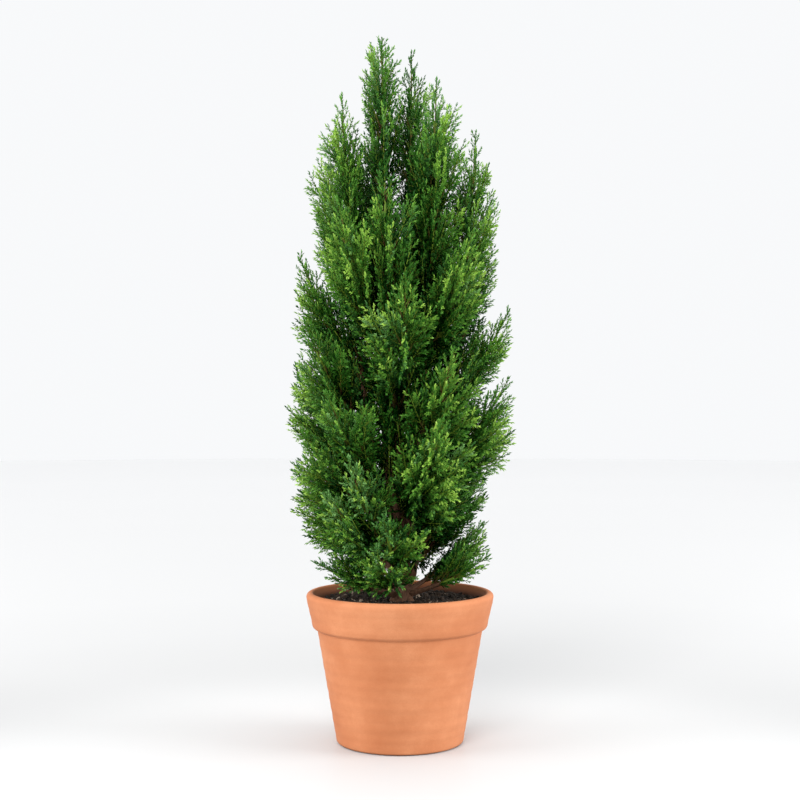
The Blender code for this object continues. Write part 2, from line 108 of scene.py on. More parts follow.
def add_mesh(name, points, faces, finishes, slots=None, smooth=True):
    """One object from its points and arrays of faces, each array with faces of one number of corners."""
    corners = np.concatenate([part.ravel() for part in faces])
    sizes = np.concatenate([np.full(len(part), part.shape[1]) for part in faces])
    mesh = bpy.data.meshes.new(name)
    mesh.vertices.add(len(points))
    mesh.vertices.foreach_set("co", points.astype(np.float32).ravel())
    mesh.loops.add(len(corners))
    mesh.loops.foreach_set("vertex_index", corners.astype(np.int32))
    mesh.polygons.add(len(sizes))
    mesh.polygons.foreach_set("loop_start", (np.cumsum(sizes) - sizes).astype(np.int32))
    mesh.polygons.foreach_set("use_smooth", np.full(len(sizes), smooth))
    if slots is not None:
        mesh.polygons.foreach_set("material_index", slots.astype(np.int32))
    mesh.update(calc_edges=True)
    for finish in finishes:
        mesh.materials.append(finish)
    return link(name, mesh)


def around(rows, columns):
    """Quads of a grid whose columns close on themselves: each row joined to the next."""
    row, column = np.meshgrid(np.arange(rows - 1), np.arange(columns), indexing="ij")
    here, beside = row * columns + column, row * columns + (column + 1) % columns
    return np.stack((here, beside, beside + columns, here + columns), -1).reshape(-1, 4)


def fan(first, columns, pole, flip=False):
    """Triangles from a ring of points, numbered from first, to one point at its middle."""
    here = first + np.arange(columns)
    beside = first + (np.arange(columns) + 1) % columns
    made = np.stack((here, beside, np.full(columns, pole)), -1)
    return made[:, ::-1] if flip else made


def turned(profile, steps):
    """A surface of revolution: each (r, z) of the profile goes to r cos a, r sin a, z for steps angles a.

    The profile starts and ends on the axis, where each ring is one point, and runs down the outer side.
    """
    ring = profile[1:-1]
    angle = 2 * np.pi * np.arange(steps) / steps
    x = ring[:, :1] * np.cos(angle)
    y = ring[:, :1] * np.sin(angle)
    z = np.broadcast_to(ring[:, 1:], x.shape)
    poles = np.array([(0, 0, profile[0, 1]), (0, 0, profile[-1, 1])])
    points = np.concatenate((np.stack((x, y, z), -1).reshape(-1, 3), poles))
    count = len(ring) * steps
    faces = [around(len(ring), steps)[:, ::-1]]
    faces += [fan(0, steps, count), fan(count - steps, steps, count + 1, flip=True)]
    return points, faces


def new_material(name, roughness, gloss):
    """A material of this roughness and gloss, and its shader."""
    made = bpy.data.materials.new(name)
    made.use_nodes = True
    shader = made.node_tree.nodes["Principled BSDF"]
    give(shader, {"Roughness": roughness, "Specular IOR Level": gloss})
    return made, shader


def give(node, inputs):
    """Gives a node's inputs, by name or number, their values, or joins them to what other nodes give."""
    for socket, value in inputs.items():
        if isinstance(value, bpy.types.NodeSocket):
            node.id_data.links.new(value, node.inputs[socket])
        else:
            node.inputs[socket].default_value = value


def from_node(material, kind, output, inputs=None, **settings):
    """What a new node of a material gives at this output."""
    made = material.node_tree.nodes.new(kind)
    for setting, value in settings.items():
        setattr(made, setting, value)
    give(made, inputs or {})
    return made.outputs[output]


def from_ramp(material, share, stops, interpolation="LINEAR"):
    """What a colour ramp with these (place, colour) stops gives for a share."""
    made = material.node_tree.nodes.new("ShaderNodeValToRGB")
    made.color_ramp.interpolation = interpolation
    elements = made.color_ramp.elements
    while len(elements) < len(stops):
        elements.new(0.5)
    for element, (place, colour) in zip(elements, stops):
        element.position = place
        element.color = (*colour, 1) if isinstance(colour, tuple) else (colour, colour, colour, 1)
    give(made, {"Fac": share})
    return made.outputs["Color"]


# The floor's base colour carries painted light and shade: a grey ring of painted shadow behind the pot, paler far
# out
floor_finish, shader = new_material("floor_painted_shade", 0.45, 0.06)
spot = from_node(floor_finish, "ShaderNodeTexCoord", "Object")
apart = {0: spot, 1: (0, FLOOR_PAINTED_LIGHT_CENTRE, 0)}
apart = from_node(floor_finish, "ShaderNodeVectorMath", "Value", apart, operation="DISTANCE")
share = {0: apart, 1: FLOOR_PAINTED_LIGHT_REACH}
share = from_node(floor_finish, "ShaderNodeMath", "Value", share, operation="DIVIDE")
stops = [(metres / FLOOR_PAINTED_LIGHT_REACH, tone) for metres, tone in FLOOR_PAINTED_LIGHT_TONES]
give(shader, {"Base Color": from_ramp(floor_finish, share, stops, "B_SPLINE")})

floor_profile = [(0, 0), (0.1, 0), (0.3, 0), (1, 0), (FLOOR_RADIUS, 0), (FLOOR_RADIUS, -0.02), (0, -0.02)]
floor_profile = np.array(floor_profile)
floor_points, floor_faces = turned(floor_profile - (0, 0.0003), 96)
floor = add_mesh("floor", floor_points, floor_faces, [floor_finish], smooth=False)


# ---- Pot
# A small plant pot of fired red clay: a tapering body under a broad collar with a rolled lip. It is thrown or
# pressed in one piece, left unglazed, and dries chalky outside while the inner wall stays damp above the compost;
# the inner wall's dark colour there is partly that damp and partly painted shade inside the pot.

POT_HEIGHT = 64.5 * MM
LIP_RADIUS = 40.5 * MM
LIP_INNER_RADIUS = 37.4 * MM
LIP_ROUNDING = 2.0 * MM
LIP_INNER_ROUNDING = 0.9 * MM
BAND_BOTTOM_RADIUS = 37.8 * MM
BAND_BOTTOM_HEIGHT = 50.6 * MM
LEDGE_ROUNDING = 1.6 * MM
LEDGE_HOLLOW = 0.35 * MM  # where the wall meets the underside of the collar
WALL_TOP_RADIUS = 35.6 * MM
WALL_TOP_HEIGHT = 47.8 * MM
FOOT_RADIUS = 27.5 * MM
FOOT_ROUNDING = 1.2 * MM
WALL = 3.0 * MM
FLOOR = 5.0 * MM
POT_STEPS = 192
PROFILE_STEP = 0.8 * MM
THROWING_DEPTH = 0.05 * MM
CLAY = (0.47, 0.168, 0.067)
CLAY_PALE = (0.56, 0.225, 0.100)
CLAY_RED = (0.42, 0.138, 0.050)
CLAY_DAMP_AND_SHADE = (0.12, 0.042, 0.018)


def arc(centre_r, centre_z, radius, start, end, steps):
    """Profile points (r, z) on a round corner, from one angle to another in degrees."""
    angle = np.radians(np.linspace(start, end, steps + 1))
    return np.stack((centre_r + radius * np.cos(angle), centre_z + radius * np.sin(angle)), -1)


def filled_in(profile, step):
    """The same profile with points added on its long runs, so that no two stand further apart than step."""
    runs = []
    for low, high in zip(profile[:-1], profile[1:]):
        count = max(1, math.ceil(np.hypot(*(high - low)) / step))
        runs.append(low + (high - low) * np.arange(count)[:, None] / count)
    return np.concatenate((*runs, profile[-1:]))


def inner_radius(height):
    """The pot's inner wall: it flares from the floor to the ledge, and more to the lip."""
    floor_r = FOOT_RADIUS - WALL
    ledge_r = WALL_TOP_RADIUS - WALL
    if height < WALL_TOP_HEIGHT:
        return floor_r + (ledge_r - floor_r) * (height - FLOOR) / (WALL_TOP_HEIGHT - FLOOR)
    share = (height - WALL_TOP_HEIGHT) / (POT_HEIGHT - LIP_INNER_ROUNDING - WALL_TOP_HEIGHT)
    return ledge_r + (LIP_INNER_RADIUS - ledge_r) * share


lip_inner_centre = LIP_INNER_RADIUS + LIP_INNER_ROUNDING
band_centre = BAND_BOTTOM_RADIUS - LEDGE_ROUNDING
pot_profile = np.concatenate((
    [(0, FLOOR), (inner_radius(FLOOR), FLOOR), (inner_radius(WALL_TOP_HEIGHT), WALL_TOP_HEIGHT)],
    arc(lip_inner_centre, POT_HEIGHT - LIP_INNER_ROUNDING, LIP_INNER_ROUNDING, 180, 90, 6),
    arc(LIP_RADIUS - LIP_ROUNDING, POT_HEIGHT - LIP_ROUNDING, LIP_ROUNDING, 90, -5, 12),
    arc(band_centre, BAND_BOTTOM_HEIGHT, LEDGE_ROUNDING, -5, -75, 8),
    arc(WALL_TOP_RADIUS + LEDGE_HOLLOW, WALL_TOP_HEIGHT + LEDGE_HOLLOW, LEDGE_HOLLOW, 120, 185, 4),
    arc(FOOT_RADIUS - FOOT_ROUNDING, FOOT_ROUNDING, FOOT_ROUNDING, -5, -90, 8),
    [(0, 0)],
))
pot_profile = filled_in(pot_profile, PROFILE_STEP)
pot_points, pot_faces = turned(pot_profile, POT_STEPS)

# Throwing marks: rings a few millimetres apart that wander as they go round, on the upright walls only
height = pot_points[:, 2]
reach = np.hypot(pot_points[:, 0], pot_points[:, 1])
bearing = np.arctan2(pot_points[:, 1], pot_points[:, 0])
upright = np.clip(height / (3 * MM), 0, 1) * np.clip((POT_HEIGHT - height) / (2.5 * MM), 0, 1)
upright *= reach > FOOT_RADIUS - WALL
marks = np.sin(height / (0.72 * MM) + 0.8 * np.sin(bearing))
marks = marks + 0.7 * np.sin(height / (1.31 * MM) + np.cos(bearing * 2))
out_of_round = 0.9 * np.sin(2 * bearing + 0.6) + 0.5 * np.sin(3 * bearing + 2.0 + height / (20 * MM))
swell = 1 + upright * THROWING_DEPTH * (marks + out_of_round) / np.maximum(reach, 1 * MM)
pot_points[:, :2] *= swell[:, None]

terracotta, shader = new_material("terracotta_clay", 0.82, 0.4)
spot = from_node(terracotta, "ShaderNodeTexCoord", "Object")
mottle = {"Vector": spot, "Scale": 34.0, "Detail": 5.0, "Roughness": 0.62}
mottle = from_node(terracotta, "ShaderNodeTexNoise", "Fac", mottle)
drawn = from_node(terracotta, "ShaderNodeMapping", "Vector", {"Vector": spot, "Scale": (18.0, 18.0, 260.0)})
streaks = from_node(terracotta, "ShaderNodeTexNoise", "Fac", {"Vector": drawn, "Scale": 1.0, "Detail": 4.0})
grain = {"Vector": spot, "Scale": 2600.0, "Detail": 3.0, "Roughness": 0.7}
grain = from_node(terracotta, "ShaderNodeTexNoise", "Fac", grain)
# mottle + 0.20 streaks + 0.28 grain - 0.24
blend = {0: streaks, 1: 0.20, 2: mottle}
blend = from_node(terracotta, "ShaderNodeMath", "Value", blend, operation="MULTIPLY_ADD")
blend = {0: grain, 1: 0.28, 2: blend}
blend = from_node(terracotta, "ShaderNodeMath", "Value", blend, operation="MULTIPLY_ADD")
blend = from_node(terracotta, "ShaderNodeMath", "Value", {0: blend, 1: 0.24}, operation="SUBTRACT")
clay = from_ramp(terracotta, blend, ((0.30, CLAY_RED), (0.50, CLAY), (0.74, CLAY_PALE)))
# The inner wall's dark colour is partly damp clay and partly painted shade inside the pot
damp = from_node(terracotta, "ShaderNodeAttribute", "Fac", attribute_name="damp")
damp_and_shaded_clay = {"Factor": damp, "A": clay, "B": (*CLAY_DAMP_AND_SHADE, 1)}
damp_and_shaded_clay = from_node(terracotta, "ShaderNodeMix", "Result", damp_and_shaded_clay, data_type="RGBA")
tooth = {"Strength": 0.35, "Distance": 0.00012, "Height": grain}
tooth = from_node(terracotta, "ShaderNodeBump", "Normal", tooth)
give(shader, {"Base Color": damp_and_shaded_clay, "Normal": tooth})


def mark(piece, name, values):
    """Gives each point of a piece a number that its material reads."""
    numbers = piece.data.attributes.new(name, "FLOAT", "POINT")
    numbers.data.foreach_set("value", values.astype(np.float32))


pot = add_mesh("pot_clay", pot_points, pot_faces, [terracotta])
inner_rows = np.repeat(np.arange(len(pot_profile) - 2) < np.argmax(pot_profile[:, 1]), POT_STEPS)
inside = np.concatenate((inner_rows, (True, False)))
# Damp and painted shade: the inner wall darkens from just under the lip down to the compost
damp_and_shade_share = inside * np.clip((POT_HEIGHT - 0.5 * MM - height) / (3.2 * MM), 0, 1)
mark(pot, "damp", damp_and_shade_share)
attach(pot, "root")
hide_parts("pot")


# ---- Compost
# A plug of dark potting compost that fills the pot to a little under the lip: peat and bark crumbs, damp and
# nearly black, with a little pale grit. The plug is one lumpy disc and the crumbs lie loose on it.

COMPOST_LEVEL = 60.0 * MM
GAP = 0.3 * MM
CRUMBS = 3400
CRUMB_SMALLEST = 0.35 * MM
CRUMB_LARGEST = 1.25 * MM
PEAT = (0.012, 0.009, 0.007)
PEAT_BROWN = (0.045, 0.027, 0.016)
BARK_CRUMB = (0.10, 0.065, 0.042)
GRIT = (0.30, 0.23, 0.17)
LUMPS = (9 * MM, 4.1 * MM, 2.3 * MM)  # their widths
LUMP_HEIGHT = 1.5 * MM
LUMP_MIDDLE = 0.62
luck = np.random.default_rng(411)


def bumps(x, y, seed, wavelengths):
    """Soft lumps from 0 to 1: the mean of five sine waves of each wavelength, with seeded slants."""
    waves = np.random.default_rng(seed)
    total = np.zeros(np.shape(x))
    for length in wavelengths:
        for slant, phase in waves.random((5, 2)) * 2 * np.pi:
            total += np.sin((x * np.cos(slant) + y * np.sin(slant)) * 2 * np.pi / length + phase)
    return 0.5 + total / (10 * len(wavelengths)) * 2


share = np.linspace(0, 1, 64)[1:]
surface_r = (inner_radius(COMPOST_LEVEL) - 0.15 * MM) * share
top_rows = np.stack((surface_r, np.full(63, COMPOST_LEVEL)), -1)
plug_profile = np.concatenate((
    [(0, COMPOST_LEVEL)],
    top_rows,
    [(inner_radius(WALL_TOP_HEIGHT) - GAP, WALL_TOP_HEIGHT)],
    [(inner_radius(FLOOR) - GAP, FLOOR + GAP), (0, FLOOR + GAP)],
))
plug_points, plug_faces = turned(plug_profile, 128)
on_top = plug_points[:, 2] > COMPOST_LEVEL - 0.1 * MM
lumps = bumps(plug_points[:, 0], plug_points[:, 1], 5, LUMPS) - LUMP_MIDDLE
plug_points[:, 2] += on_top * lumps * LUMP_HEIGHT

# Each crumb is a 20-faced ball with its corners pushed in and out, squashed, turned and half sunk in the plug
golden = (1 + 5**0.5) / 2
ball = np.array([(s, t * golden, 0) for s in (-1, 1) for t in (-1, 1)])
ball = np.concatenate((ball, np.roll(ball, 1, 1), np.roll(ball, 2, 1))) / math.hypot(1, golden)
near = np.linalg.norm(ball[:, None] - ball[None], axis=2) < 1.1
triples = [(a, b, c) for a in range(12) for b in range(a) for c in range(b)]
ball_faces = np.array([(a, b, c) for a, b, c in triples if near[a, b] and near[b, c] and near[a, c]])
first, second, third = [ball[ball_faces[:, i]] for i in range(3)]
inward = (np.cross(second - first, third - first) * first).sum(1) < 0
ball_faces[inward] = ball_faces[inward][:, ::-1]

crumb_size = CRUMB_SMALLEST + (CRUMB_LARGEST - CRUMB_SMALLEST) * luck.random(CRUMBS) ** 2.2
crumb_r = (inner_radius(COMPOST_LEVEL) - 1.0 * MM) * np.sqrt(luck.random(CRUMBS))
crumb_turn = 2 * np.pi * luck.random(CRUMBS)
crumb_x, crumb_y = crumb_r * np.cos(crumb_turn), crumb_r * np.sin(crumb_turn)
crumb_lumps = bumps(crumb_x, crumb_y, 5, LUMPS) - LUMP_MIDDLE
crumb_z = COMPOST_LEVEL + crumb_lumps * LUMP_HEIGHT + crumb_size * 0.25
shape = ball[None] * (1 + 0.35 * (luck.random((CRUMBS, 12, 1)) - 0.5))
shape = shape * (0.65 + 0.7 * luck.random((CRUMBS, 1, 3)))
spin = np.linalg.qr(luck.normal(size=(CRUMBS, 3, 3)))[0]
spin *= np.sign(np.linalg.det(spin))[:, None, None]
crumb_points = np.einsum("nij,nkj->nki", spin, shape) * crumb_size[:, None, None]
crumb_points += np.stack((crumb_x, crumb_y, crumb_z), -1)[:, None]
crumb_faces = (ball_faces[None] + 12 * np.arange(CRUMBS)[:, None, None]).reshape(-1, 3)
crumb_tone = np.where(luck.random(CRUMBS) < 0.045, 0.9, 0.55 * luck.random(CRUMBS) ** 1.6)

peat, shader = new_material("peat_and_grit", 0.88, 0.35)
spot = from_node(peat, "ShaderNodeTexCoord", "Object")
tone = from_node(peat, "ShaderNodeAttribute", "Fac", attribute_name="tone")
fibre = from_node(peat, "ShaderNodeTexNoise", "Fac", {"Vector": spot, "Scale": 1500.0, "Detail": 4.0})
stir = {0: fibre, 1: 0.30, 2: tone}
stir = from_node(peat, "ShaderNodeMath", "Value", stir, operation="MULTIPLY_ADD")
earth = from_ramp(peat, stir, ((0.10, PEAT), (0.62, PEAT_BROWN), (0.86, BARK_CRUMB), (1.0, GRIT)))
rough = {"Strength": 0.7, "Distance": 0.0003, "Height": fibre}
rough = from_node(peat, "ShaderNodeBump", "Normal", rough)
give(shader, {"Base Color": earth, "Normal": rough})

plug = add_mesh("compost_plug", plug_points, plug_faces, [peat])
crumbs = add_mesh("compost_crumbs", crumb_points.reshape(-1, 3), [crumb_faces], [peat], smooth=False)
mark(plug, "tone", np.full(len(plug_points), 0.1))
mark(crumbs, "tone", np.repeat(crumb_tone, 12))
for piece in (plug, crumbs):
    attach(piece, "root")
    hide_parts("compost")


# ---- Trunk
# The woody stem of a young cypress, standing in the compost on a flared foot and leaning a little. Its bark is
# thin, red-brown and fibrous: it splits into long strips that run up the stem, which the mesh carries as ridges.

TRUNK_FOOT = Vector((1.0 * MM, 0, COMPOST_LEVEL + GAP))
TRUNK_TIP = Vector((-7.2 * MM, 0, 238 * MM))
TRUNK_BOW = 1.5 * MM
TRUNK_RADIUS = 2.7 * MM
TRUNK_TIP_RADIUS = 0.9 * MM
FLARE = 2.6 * MM
FLARE_HEIGHT = 4.5 * MM
ROOT_LOBES = 5
LOBE_DEPTH = 0.16
BARK_DEPTH = 0.11  # how far the strips stand out, against the radius
BARK_DARK = (0.020, 0.010, 0.006)
BARK_RED = (0.085, 0.040, 0.020)
BARK_WORN = (0.135, 0.066, 0.036)
BARK_PALE = (0.24, 0.135, 0.080)


def trunk_centre(z):
    """The trunk's middle line: it leans to its tip by a power of the height, and bows by half a sine wave."""
    share = (z - TRUNK_FOOT.z) / (TRUNK_TIP.z - TRUNK_FOOT.z)
    share = min(max(share, 0.0), 1.0)
    x = TRUNK_FOOT.x + (TRUNK_TIP.x - TRUNK_FOOT.x) * share**1.3
    return Vector((x, TRUNK_BOW * math.sin(math.pi * share), z))


def trunk_radius(z, angle=None):
    """The trunk's radius at a height, with the root flare, whose lobes show at an angle."""
    share = min(max((z - TRUNK_FOOT.z) / (TRUNK_TIP.z - TRUNK_FOOT.z), 0.0), 1.0)
    fade = math.exp(-max(z - TRUNK_FOOT.z, 0.0) / FLARE_HEIGHT)
    radius = TRUNK_RADIUS + (TRUNK_TIP_RADIUS - TRUNK_RADIUS) * share + FLARE * fade
    if angle is None:
        return radius * (1 + LOBE_DEPTH * fade)
    return radius * (1 + LOBE_DEPTH * fade * math.cos(ROOT_LOBES * angle))


def strips(angle, along, seed):
    """Bark relief from -1 to 1: waves round the stem whose crests wander and break off along it."""
    waves = np.random.default_rng(seed)
    total = np.zeros(np.broadcast(angle, along).shape)
    for count in (5, 8, 11, 15):
        drift, phase, pace = waves.random(3)
        wander = 1.3 * np.sin(along / (5.5 * MM) * (0.6 + pace) + 6 * phase)
        breaks = 0.6 + 0.4 * np.sin(along / (3.1 * MM) * (0.7 + drift) + 6 * pace + (count // 3) * angle)
        total += breaks * (1 - 2 * np.abs(np.sin((count * angle + wander + 6 * drift) / 2)))
    return total / 4


def bark_tube(centres, radii, columns, seed):
    """A closed tube along a line of centres: ring i lies square to it, radii[i] (or one a column) away.

    The first and last rings close on a point. The relief of strips is laid over the radii.
    """
    rows = len(centres)
    ahead = np.gradient(centres, axis=0)
    ahead /= np.linalg.norm(ahead, axis=1)[:, None]
    level = np.cross((0.0, 0.0, 1.0), ahead)
    size = np.linalg.norm(level, axis=1)[:, None]
    level = np.where(size > 1e-4, level / np.maximum(size, 1e-4), (0.0, 1.0, 0.0))
    up = np.cross(ahead, level)
    angle = 2 * np.pi * np.arange(columns) / columns
    along = np.concatenate(([0], np.cumsum(np.linalg.norm(np.diff(centres, axis=0), axis=1))))
    relief = strips(angle[None], along[:, None], seed)
    reach = radii * (1 + BARK_DEPTH * relief)
    sides = level[:, None] * np.cos(angle)[:, None] + up[:, None] * np.sin(angle)[:, None]
    points = (centres[:, None] + sides * reach[..., None]).reshape(-1, 3)
    points = np.concatenate((points, centres[:1], centres[-1:]))
    count = rows * columns
    ends = [fan(0, columns, count, flip=True), fan(count - columns, columns, count + 1)]
    crest = np.concatenate((relief.ravel(), (0, 0)))
    return points, [around(rows, columns), *ends], crest


def add_bark(name, tubes):
    """One mesh of several bark tubes, with the height of its strips kept for the colour."""
    starts = np.cumsum([0] + [len(points) for points, _, _ in tubes])
    quads = np.concatenate([faces[0] + start for (_, faces, _), start in zip(tubes, starts)])
    ends = np.concatenate([part + start for (_, faces, _), start in zip(tubes, starts) for part in faces[1:]])
    made = add_mesh(name, np.concatenate([points for points, _, _ in tubes]), [quads, ends], [bark])
    mark(made, "crest", np.concatenate([crest for _, _, crest in tubes]))
    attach(made, "root")
    return made


bark, shader = new_material("cypress_bark", 0.86, 0.3)
spot = from_node(bark, "ShaderNodeTexCoord", "Object")
crest = from_node(bark, "ShaderNodeAttribute", "Fac", attribute_name="crest")
drawn = from_node(bark, "ShaderNodeMapping", "Vector", {"Vector": spot, "Scale": (2200.0, 2200.0, 420.0)})
grain = from_node(bark, "ShaderNodeTexNoise", "Fac", {"Vector": drawn, "Scale": 1.0, "Detail": 4.0})
blend = {0: crest, 1: 0.42, 2: grain}
blend = from_node(bark, "ShaderNodeMath", "Value", blend, operation="MULTIPLY_ADD")
wood = from_ramp(bark, blend, ((0.0, BARK_DARK), (0.34, BARK_RED), (0.60, BARK_WORN), (0.85, BARK_PALE)))
rough = {"Strength": 0.5, "Distance": 0.0002, "Height": grain}
rough = from_node(bark, "ShaderNodeBump", "Normal", rough)
give(shader, {"Base Color": wood, "Normal": rough})

TRUNK_ROWS = 260
TRUNK_COLUMNS = 40
rise = TRUNK_FOOT.z + (TRUNK_TIP.z - TRUNK_FOOT.z) * np.linspace(0, 1, TRUNK_ROWS) ** 1.4
trunk_line = np.array([tuple(trunk_centre(z)) for z in rise.tolist()])
turns = (2 * np.pi * np.arange(TRUNK_COLUMNS) / TRUNK_COLUMNS + math.pi / 2).tolist()
trunk_reach = np.array([[trunk_radius(z, angle) for angle in turns] for z in rise.tolist()])
trunk_bark = add_bark("trunk_bark", [bark_tube(trunk_line, trunk_reach, TRUNK_COLUMNS, 3)])
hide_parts("trunk")


# ---- Boughs
# Every limb is one curve that leaves the trunk outwards and turns up to the tip of its foliage. Upright stems
# rise beside the trunk and low boughs carry the skirt: these are bare wood for the first part of their way.

TOTAL_HEIGHT = 305 * MM
CROWN_HEIGHTS = np.array((66, 76, 90, 108, 140, 172, 208, 234, 264, 284, 305)) * MM
CROWN_REACHES = np.array((27, 38, 47, 51.5, 51.5, 49, 45, 43, 35, 27, 14)) * MM
STEMS = {  # foot height, foot azimuth, tip x, y, z, and the share of the way that is a bare bough
    "left": (68 * MM, 185, -25.0 * MM, -3.0 * MM, 278.5 * MM, 0.50),
    "right": (68 * MM, 2, 33.0 * MM, 1.0 * MM, 263.5 * MM, 0.46),
    "back_left": (69 * MM, 133, -13.0 * MM, 24.0 * MM, 268 * MM, 0.48),
    "third": (70 * MM, 308, 15.6 * MM, -9.0 * MM, 284 * MM, 0.52),
    "second": (75 * MM, 36, 5.0 * MM, 9.0 * MM, 299.5 * MM, 0.56),
    "front": (75 * MM, 246, -6.5 * MM, -24.0 * MM, 247 * MM, 0.44),
    "back_right": (72 * MM, 82, 12.0 * MM, 29.0 * MM, 256 * MM, 0.44),
}
STEM_RADIUS = 1.45 * MM
STEM_TIP_RADIUS = 0.9 * MM
STEM_OUT = 0.75
STEM_RISE = 0.35
GOLDEN_ANGLE = 137.508
SIDE_LIMBS = 32
SIDE_START = 205.0
SIDE_LOWEST_TIP = 79 * MM
SIDE_HIGHEST_TIP = 243 * MM
SIDE_CROWDING = 1.25
SIDE_LOWEST_FOOT = 71 * MM
SIDE_DROP = 68 * MM
SIDE_LOW_LIFT = 20 * MM
SIDE_OUT = 0.62
SIDE_RISE = 0.36
SKIRT_BOUGHS = 6
SKIRT_FOOT = 63.4 * MM
SKIRT_STEP = 0.4 * MM
SKIRT_RADIUS = 1.1 * MM
SKIRT_BARE = 0.34
TWIG_RADIUS = 0.95 * MM
TURNS = range(-48, 49, 4)
RISES = range(0, 19, 3)
LIMB_CLEARANCE = 0.9 * MM
PATH_POINTS = 200
SEED = 36


def random_of(*keys):
    """A number from 0 to 1 that is always the same for the same whole numbers."""
    return float(np.random.default_rng((SEED, *keys)).random())


def polar(azimuth, reach, z):
    """The point at an azimuth in degrees, this far from the axis, at a height."""
    angle = math.radians(azimuth)
    return Vector((reach * math.cos(angle), reach * math.sin(angle), z))


def crown_reach(z):
    """How far the foliage reaches from the pot's axis at a height: straight runs between the measures."""
    return np.interp(z, CROWN_HEIGHTS, CROWN_REACHES)


def cross_section(direction):
    """Two unit vectors square to a direction, the first of them level."""
    level = Vector((0, 0, 1)).cross(direction)
    level = level.normalized() if level.length > 1e-6 else Vector((1, 0, 0))
    return level, direction.cross(level)


def trunk_room(point):
    """How far a point lies outside the trunk, measured level, or beyond its tip."""
    if point.z > TRUNK_TIP.z:
        return (point - TRUNK_TIP).length - TRUNK_TIP_RADIUS
    offset = point - trunk_centre(point.z)
    angle = math.atan2(offset.y, offset.x)
    return math.hypot(offset.x, offset.y) - trunk_radius(point.z, angle)


class Limb:
    """A quadratic curve from foot to tip: (1-t)^2 foot + 2t(1-t) bend + t^2 tip."""

    def __init__(self, name, number, foot, tip, out, rise, bare, radius):
        self.name = name
        self.number = number
        self.foot = foot
        self.tip = tip
        run = tip - foot
        self.bend = foot + Vector((run.x * out, run.y * out, run.z * rise))
        self.bare = bare
        self.radius = radius
        self.length = sum((self.at((i + 1) / 20) - self.at(i / 20)).length for i in range(20))
        self.start = self.clear_start() if number else 0.0
        self.path = self.points(0, 1, PATH_POINTS)
        self.coarse = np.array([tuple(p) for p in self.path[::2]])

    def at(self, t):
        """The point at a share t of the curve."""
        return (1 - t) ** 2 * self.foot + 2 * t * (1 - t) * self.bend + t * t * self.tip

    def along(self, t):
        """The direction of the curve at t."""
        return (2 * (1 - t) * (self.bend - self.foot) + 2 * t * (self.tip - self.bend)).normalized()

    def points(self, start, end, count):
        """Points at even steps of t, both ends with them."""
        return [self.at(start + (end - start) * i / (count - 1)) for i in range(count)]

    def line(self, start, end, count):
        """The same points as one array."""
        return np.array([tuple(point) for point in self.points(start, end, count)])

    def clear_start(self):
        """How far along its curve the limb's whole round stands clear of the trunk and the compost."""
        for t in np.linspace(0, 0.5, 200).tolist():
            level, up = cross_section(self.along(t))
            turns = [k * math.pi / 4 for k in range(8)]
            rim = [self.at(t) + (level * math.cos(a) + up * math.sin(a)) * self.radius for a in turns]
            if all(trunk_room(p) > 1.5 * GAP and p.z > COMPOST_LEVEL + 1.5 * GAP for p in rim):
                return t
        return 0.5


def on_trunk(z, azimuth):
    """The point of the trunk's surface at a height and an azimuth."""
    return trunk_centre(z) + polar(azimuth, trunk_radius(z), 0)


def room_between(a, b):
    """The least gap between two limbs' surfaces."""
    apart = np.linalg.norm(a.coarse[:, None] - b.coarse[None], axis=2).min()
    return float(apart) - a.radius - b.radius


def placed(limbs, make):
    """The limb that make gives for the smallest turn and rise of its foot at which it clears the others."""
    tries = sorted((abs(turn) / 4 + rise / 3, turn, rise) for turn in TURNS for rise in RISES)
    best = None
    for _, turn, rise in tries:
        limb = make(turn, rise * MM)
        room = min(room_between(limb, other) for other in limbs)
        if best is None or room > best[0]:
            best = (room, limb)
        if room > LIMB_CLEARANCE:
            break
    return best[1]


def plan_limbs():
    """The leader, the upright stems, and the side limbs from the lowest up: the first carry the skirt."""
    leader_foot = TRUNK_TIP + Vector((0, 0, GAP))
    leader_tip = Vector((-7.8 * MM, 0, TOTAL_HEIGHT))
    limbs = [Limb("leader", 0, leader_foot, leader_tip, 0.5, 0.5, 0.0, TWIG_RADIUS)]
    for name, (foot_z, azimuth, x, y, z, bare) in STEMS.items():

        def stem(turn, rise):
            """This stem with its foot turned and raised."""
            foot = on_trunk(foot_z + rise, azimuth + turn)
            tip = Vector((x, y, z))
            return Limb(name, len(limbs), foot, tip, STEM_OUT, STEM_RISE, bare, STEM_RADIUS)

        limbs.append(placed(limbs, stem))
    for i in range(SIDE_LIMBS):
        share = (i / (SIDE_LIMBS - 1)) ** SIDE_CROWDING
        tip_z = SIDE_LOWEST_TIP + (SIDE_HIGHEST_TIP - SIDE_LOWEST_TIP) * share
        reach = float(crown_reach(tip_z)) * (0.93 + 0.07 * random_of(i, 2))
        skirt = i < SKIRT_BOUGHS
        foot_z = SKIRT_FOOT + SKIRT_STEP * i
        if not skirt:
            foot_z = max(SIDE_LOWEST_FOOT, tip_z - SIDE_DROP + SIDE_LOW_LIFT * (1 - share))
        bare = SKIRT_BARE if skirt else 0.0
        radius = SKIRT_RADIUS if skirt else TWIG_RADIUS

        def side_limb(turn, rise):
            """This side limb with its foot turned and raised."""
            azimuth = SIDE_START + GOLDEN_ANGLE * i + turn
            foot, tip = on_trunk(foot_z + rise, azimuth), polar(azimuth, reach, tip_z)
            name = f"side_{i + 1:02d}"
            return Limb(name, len(limbs), foot, tip, SIDE_OUT, SIDE_RISE, bare, radius)

        limbs.append(placed(limbs, side_limb))
    return limbs


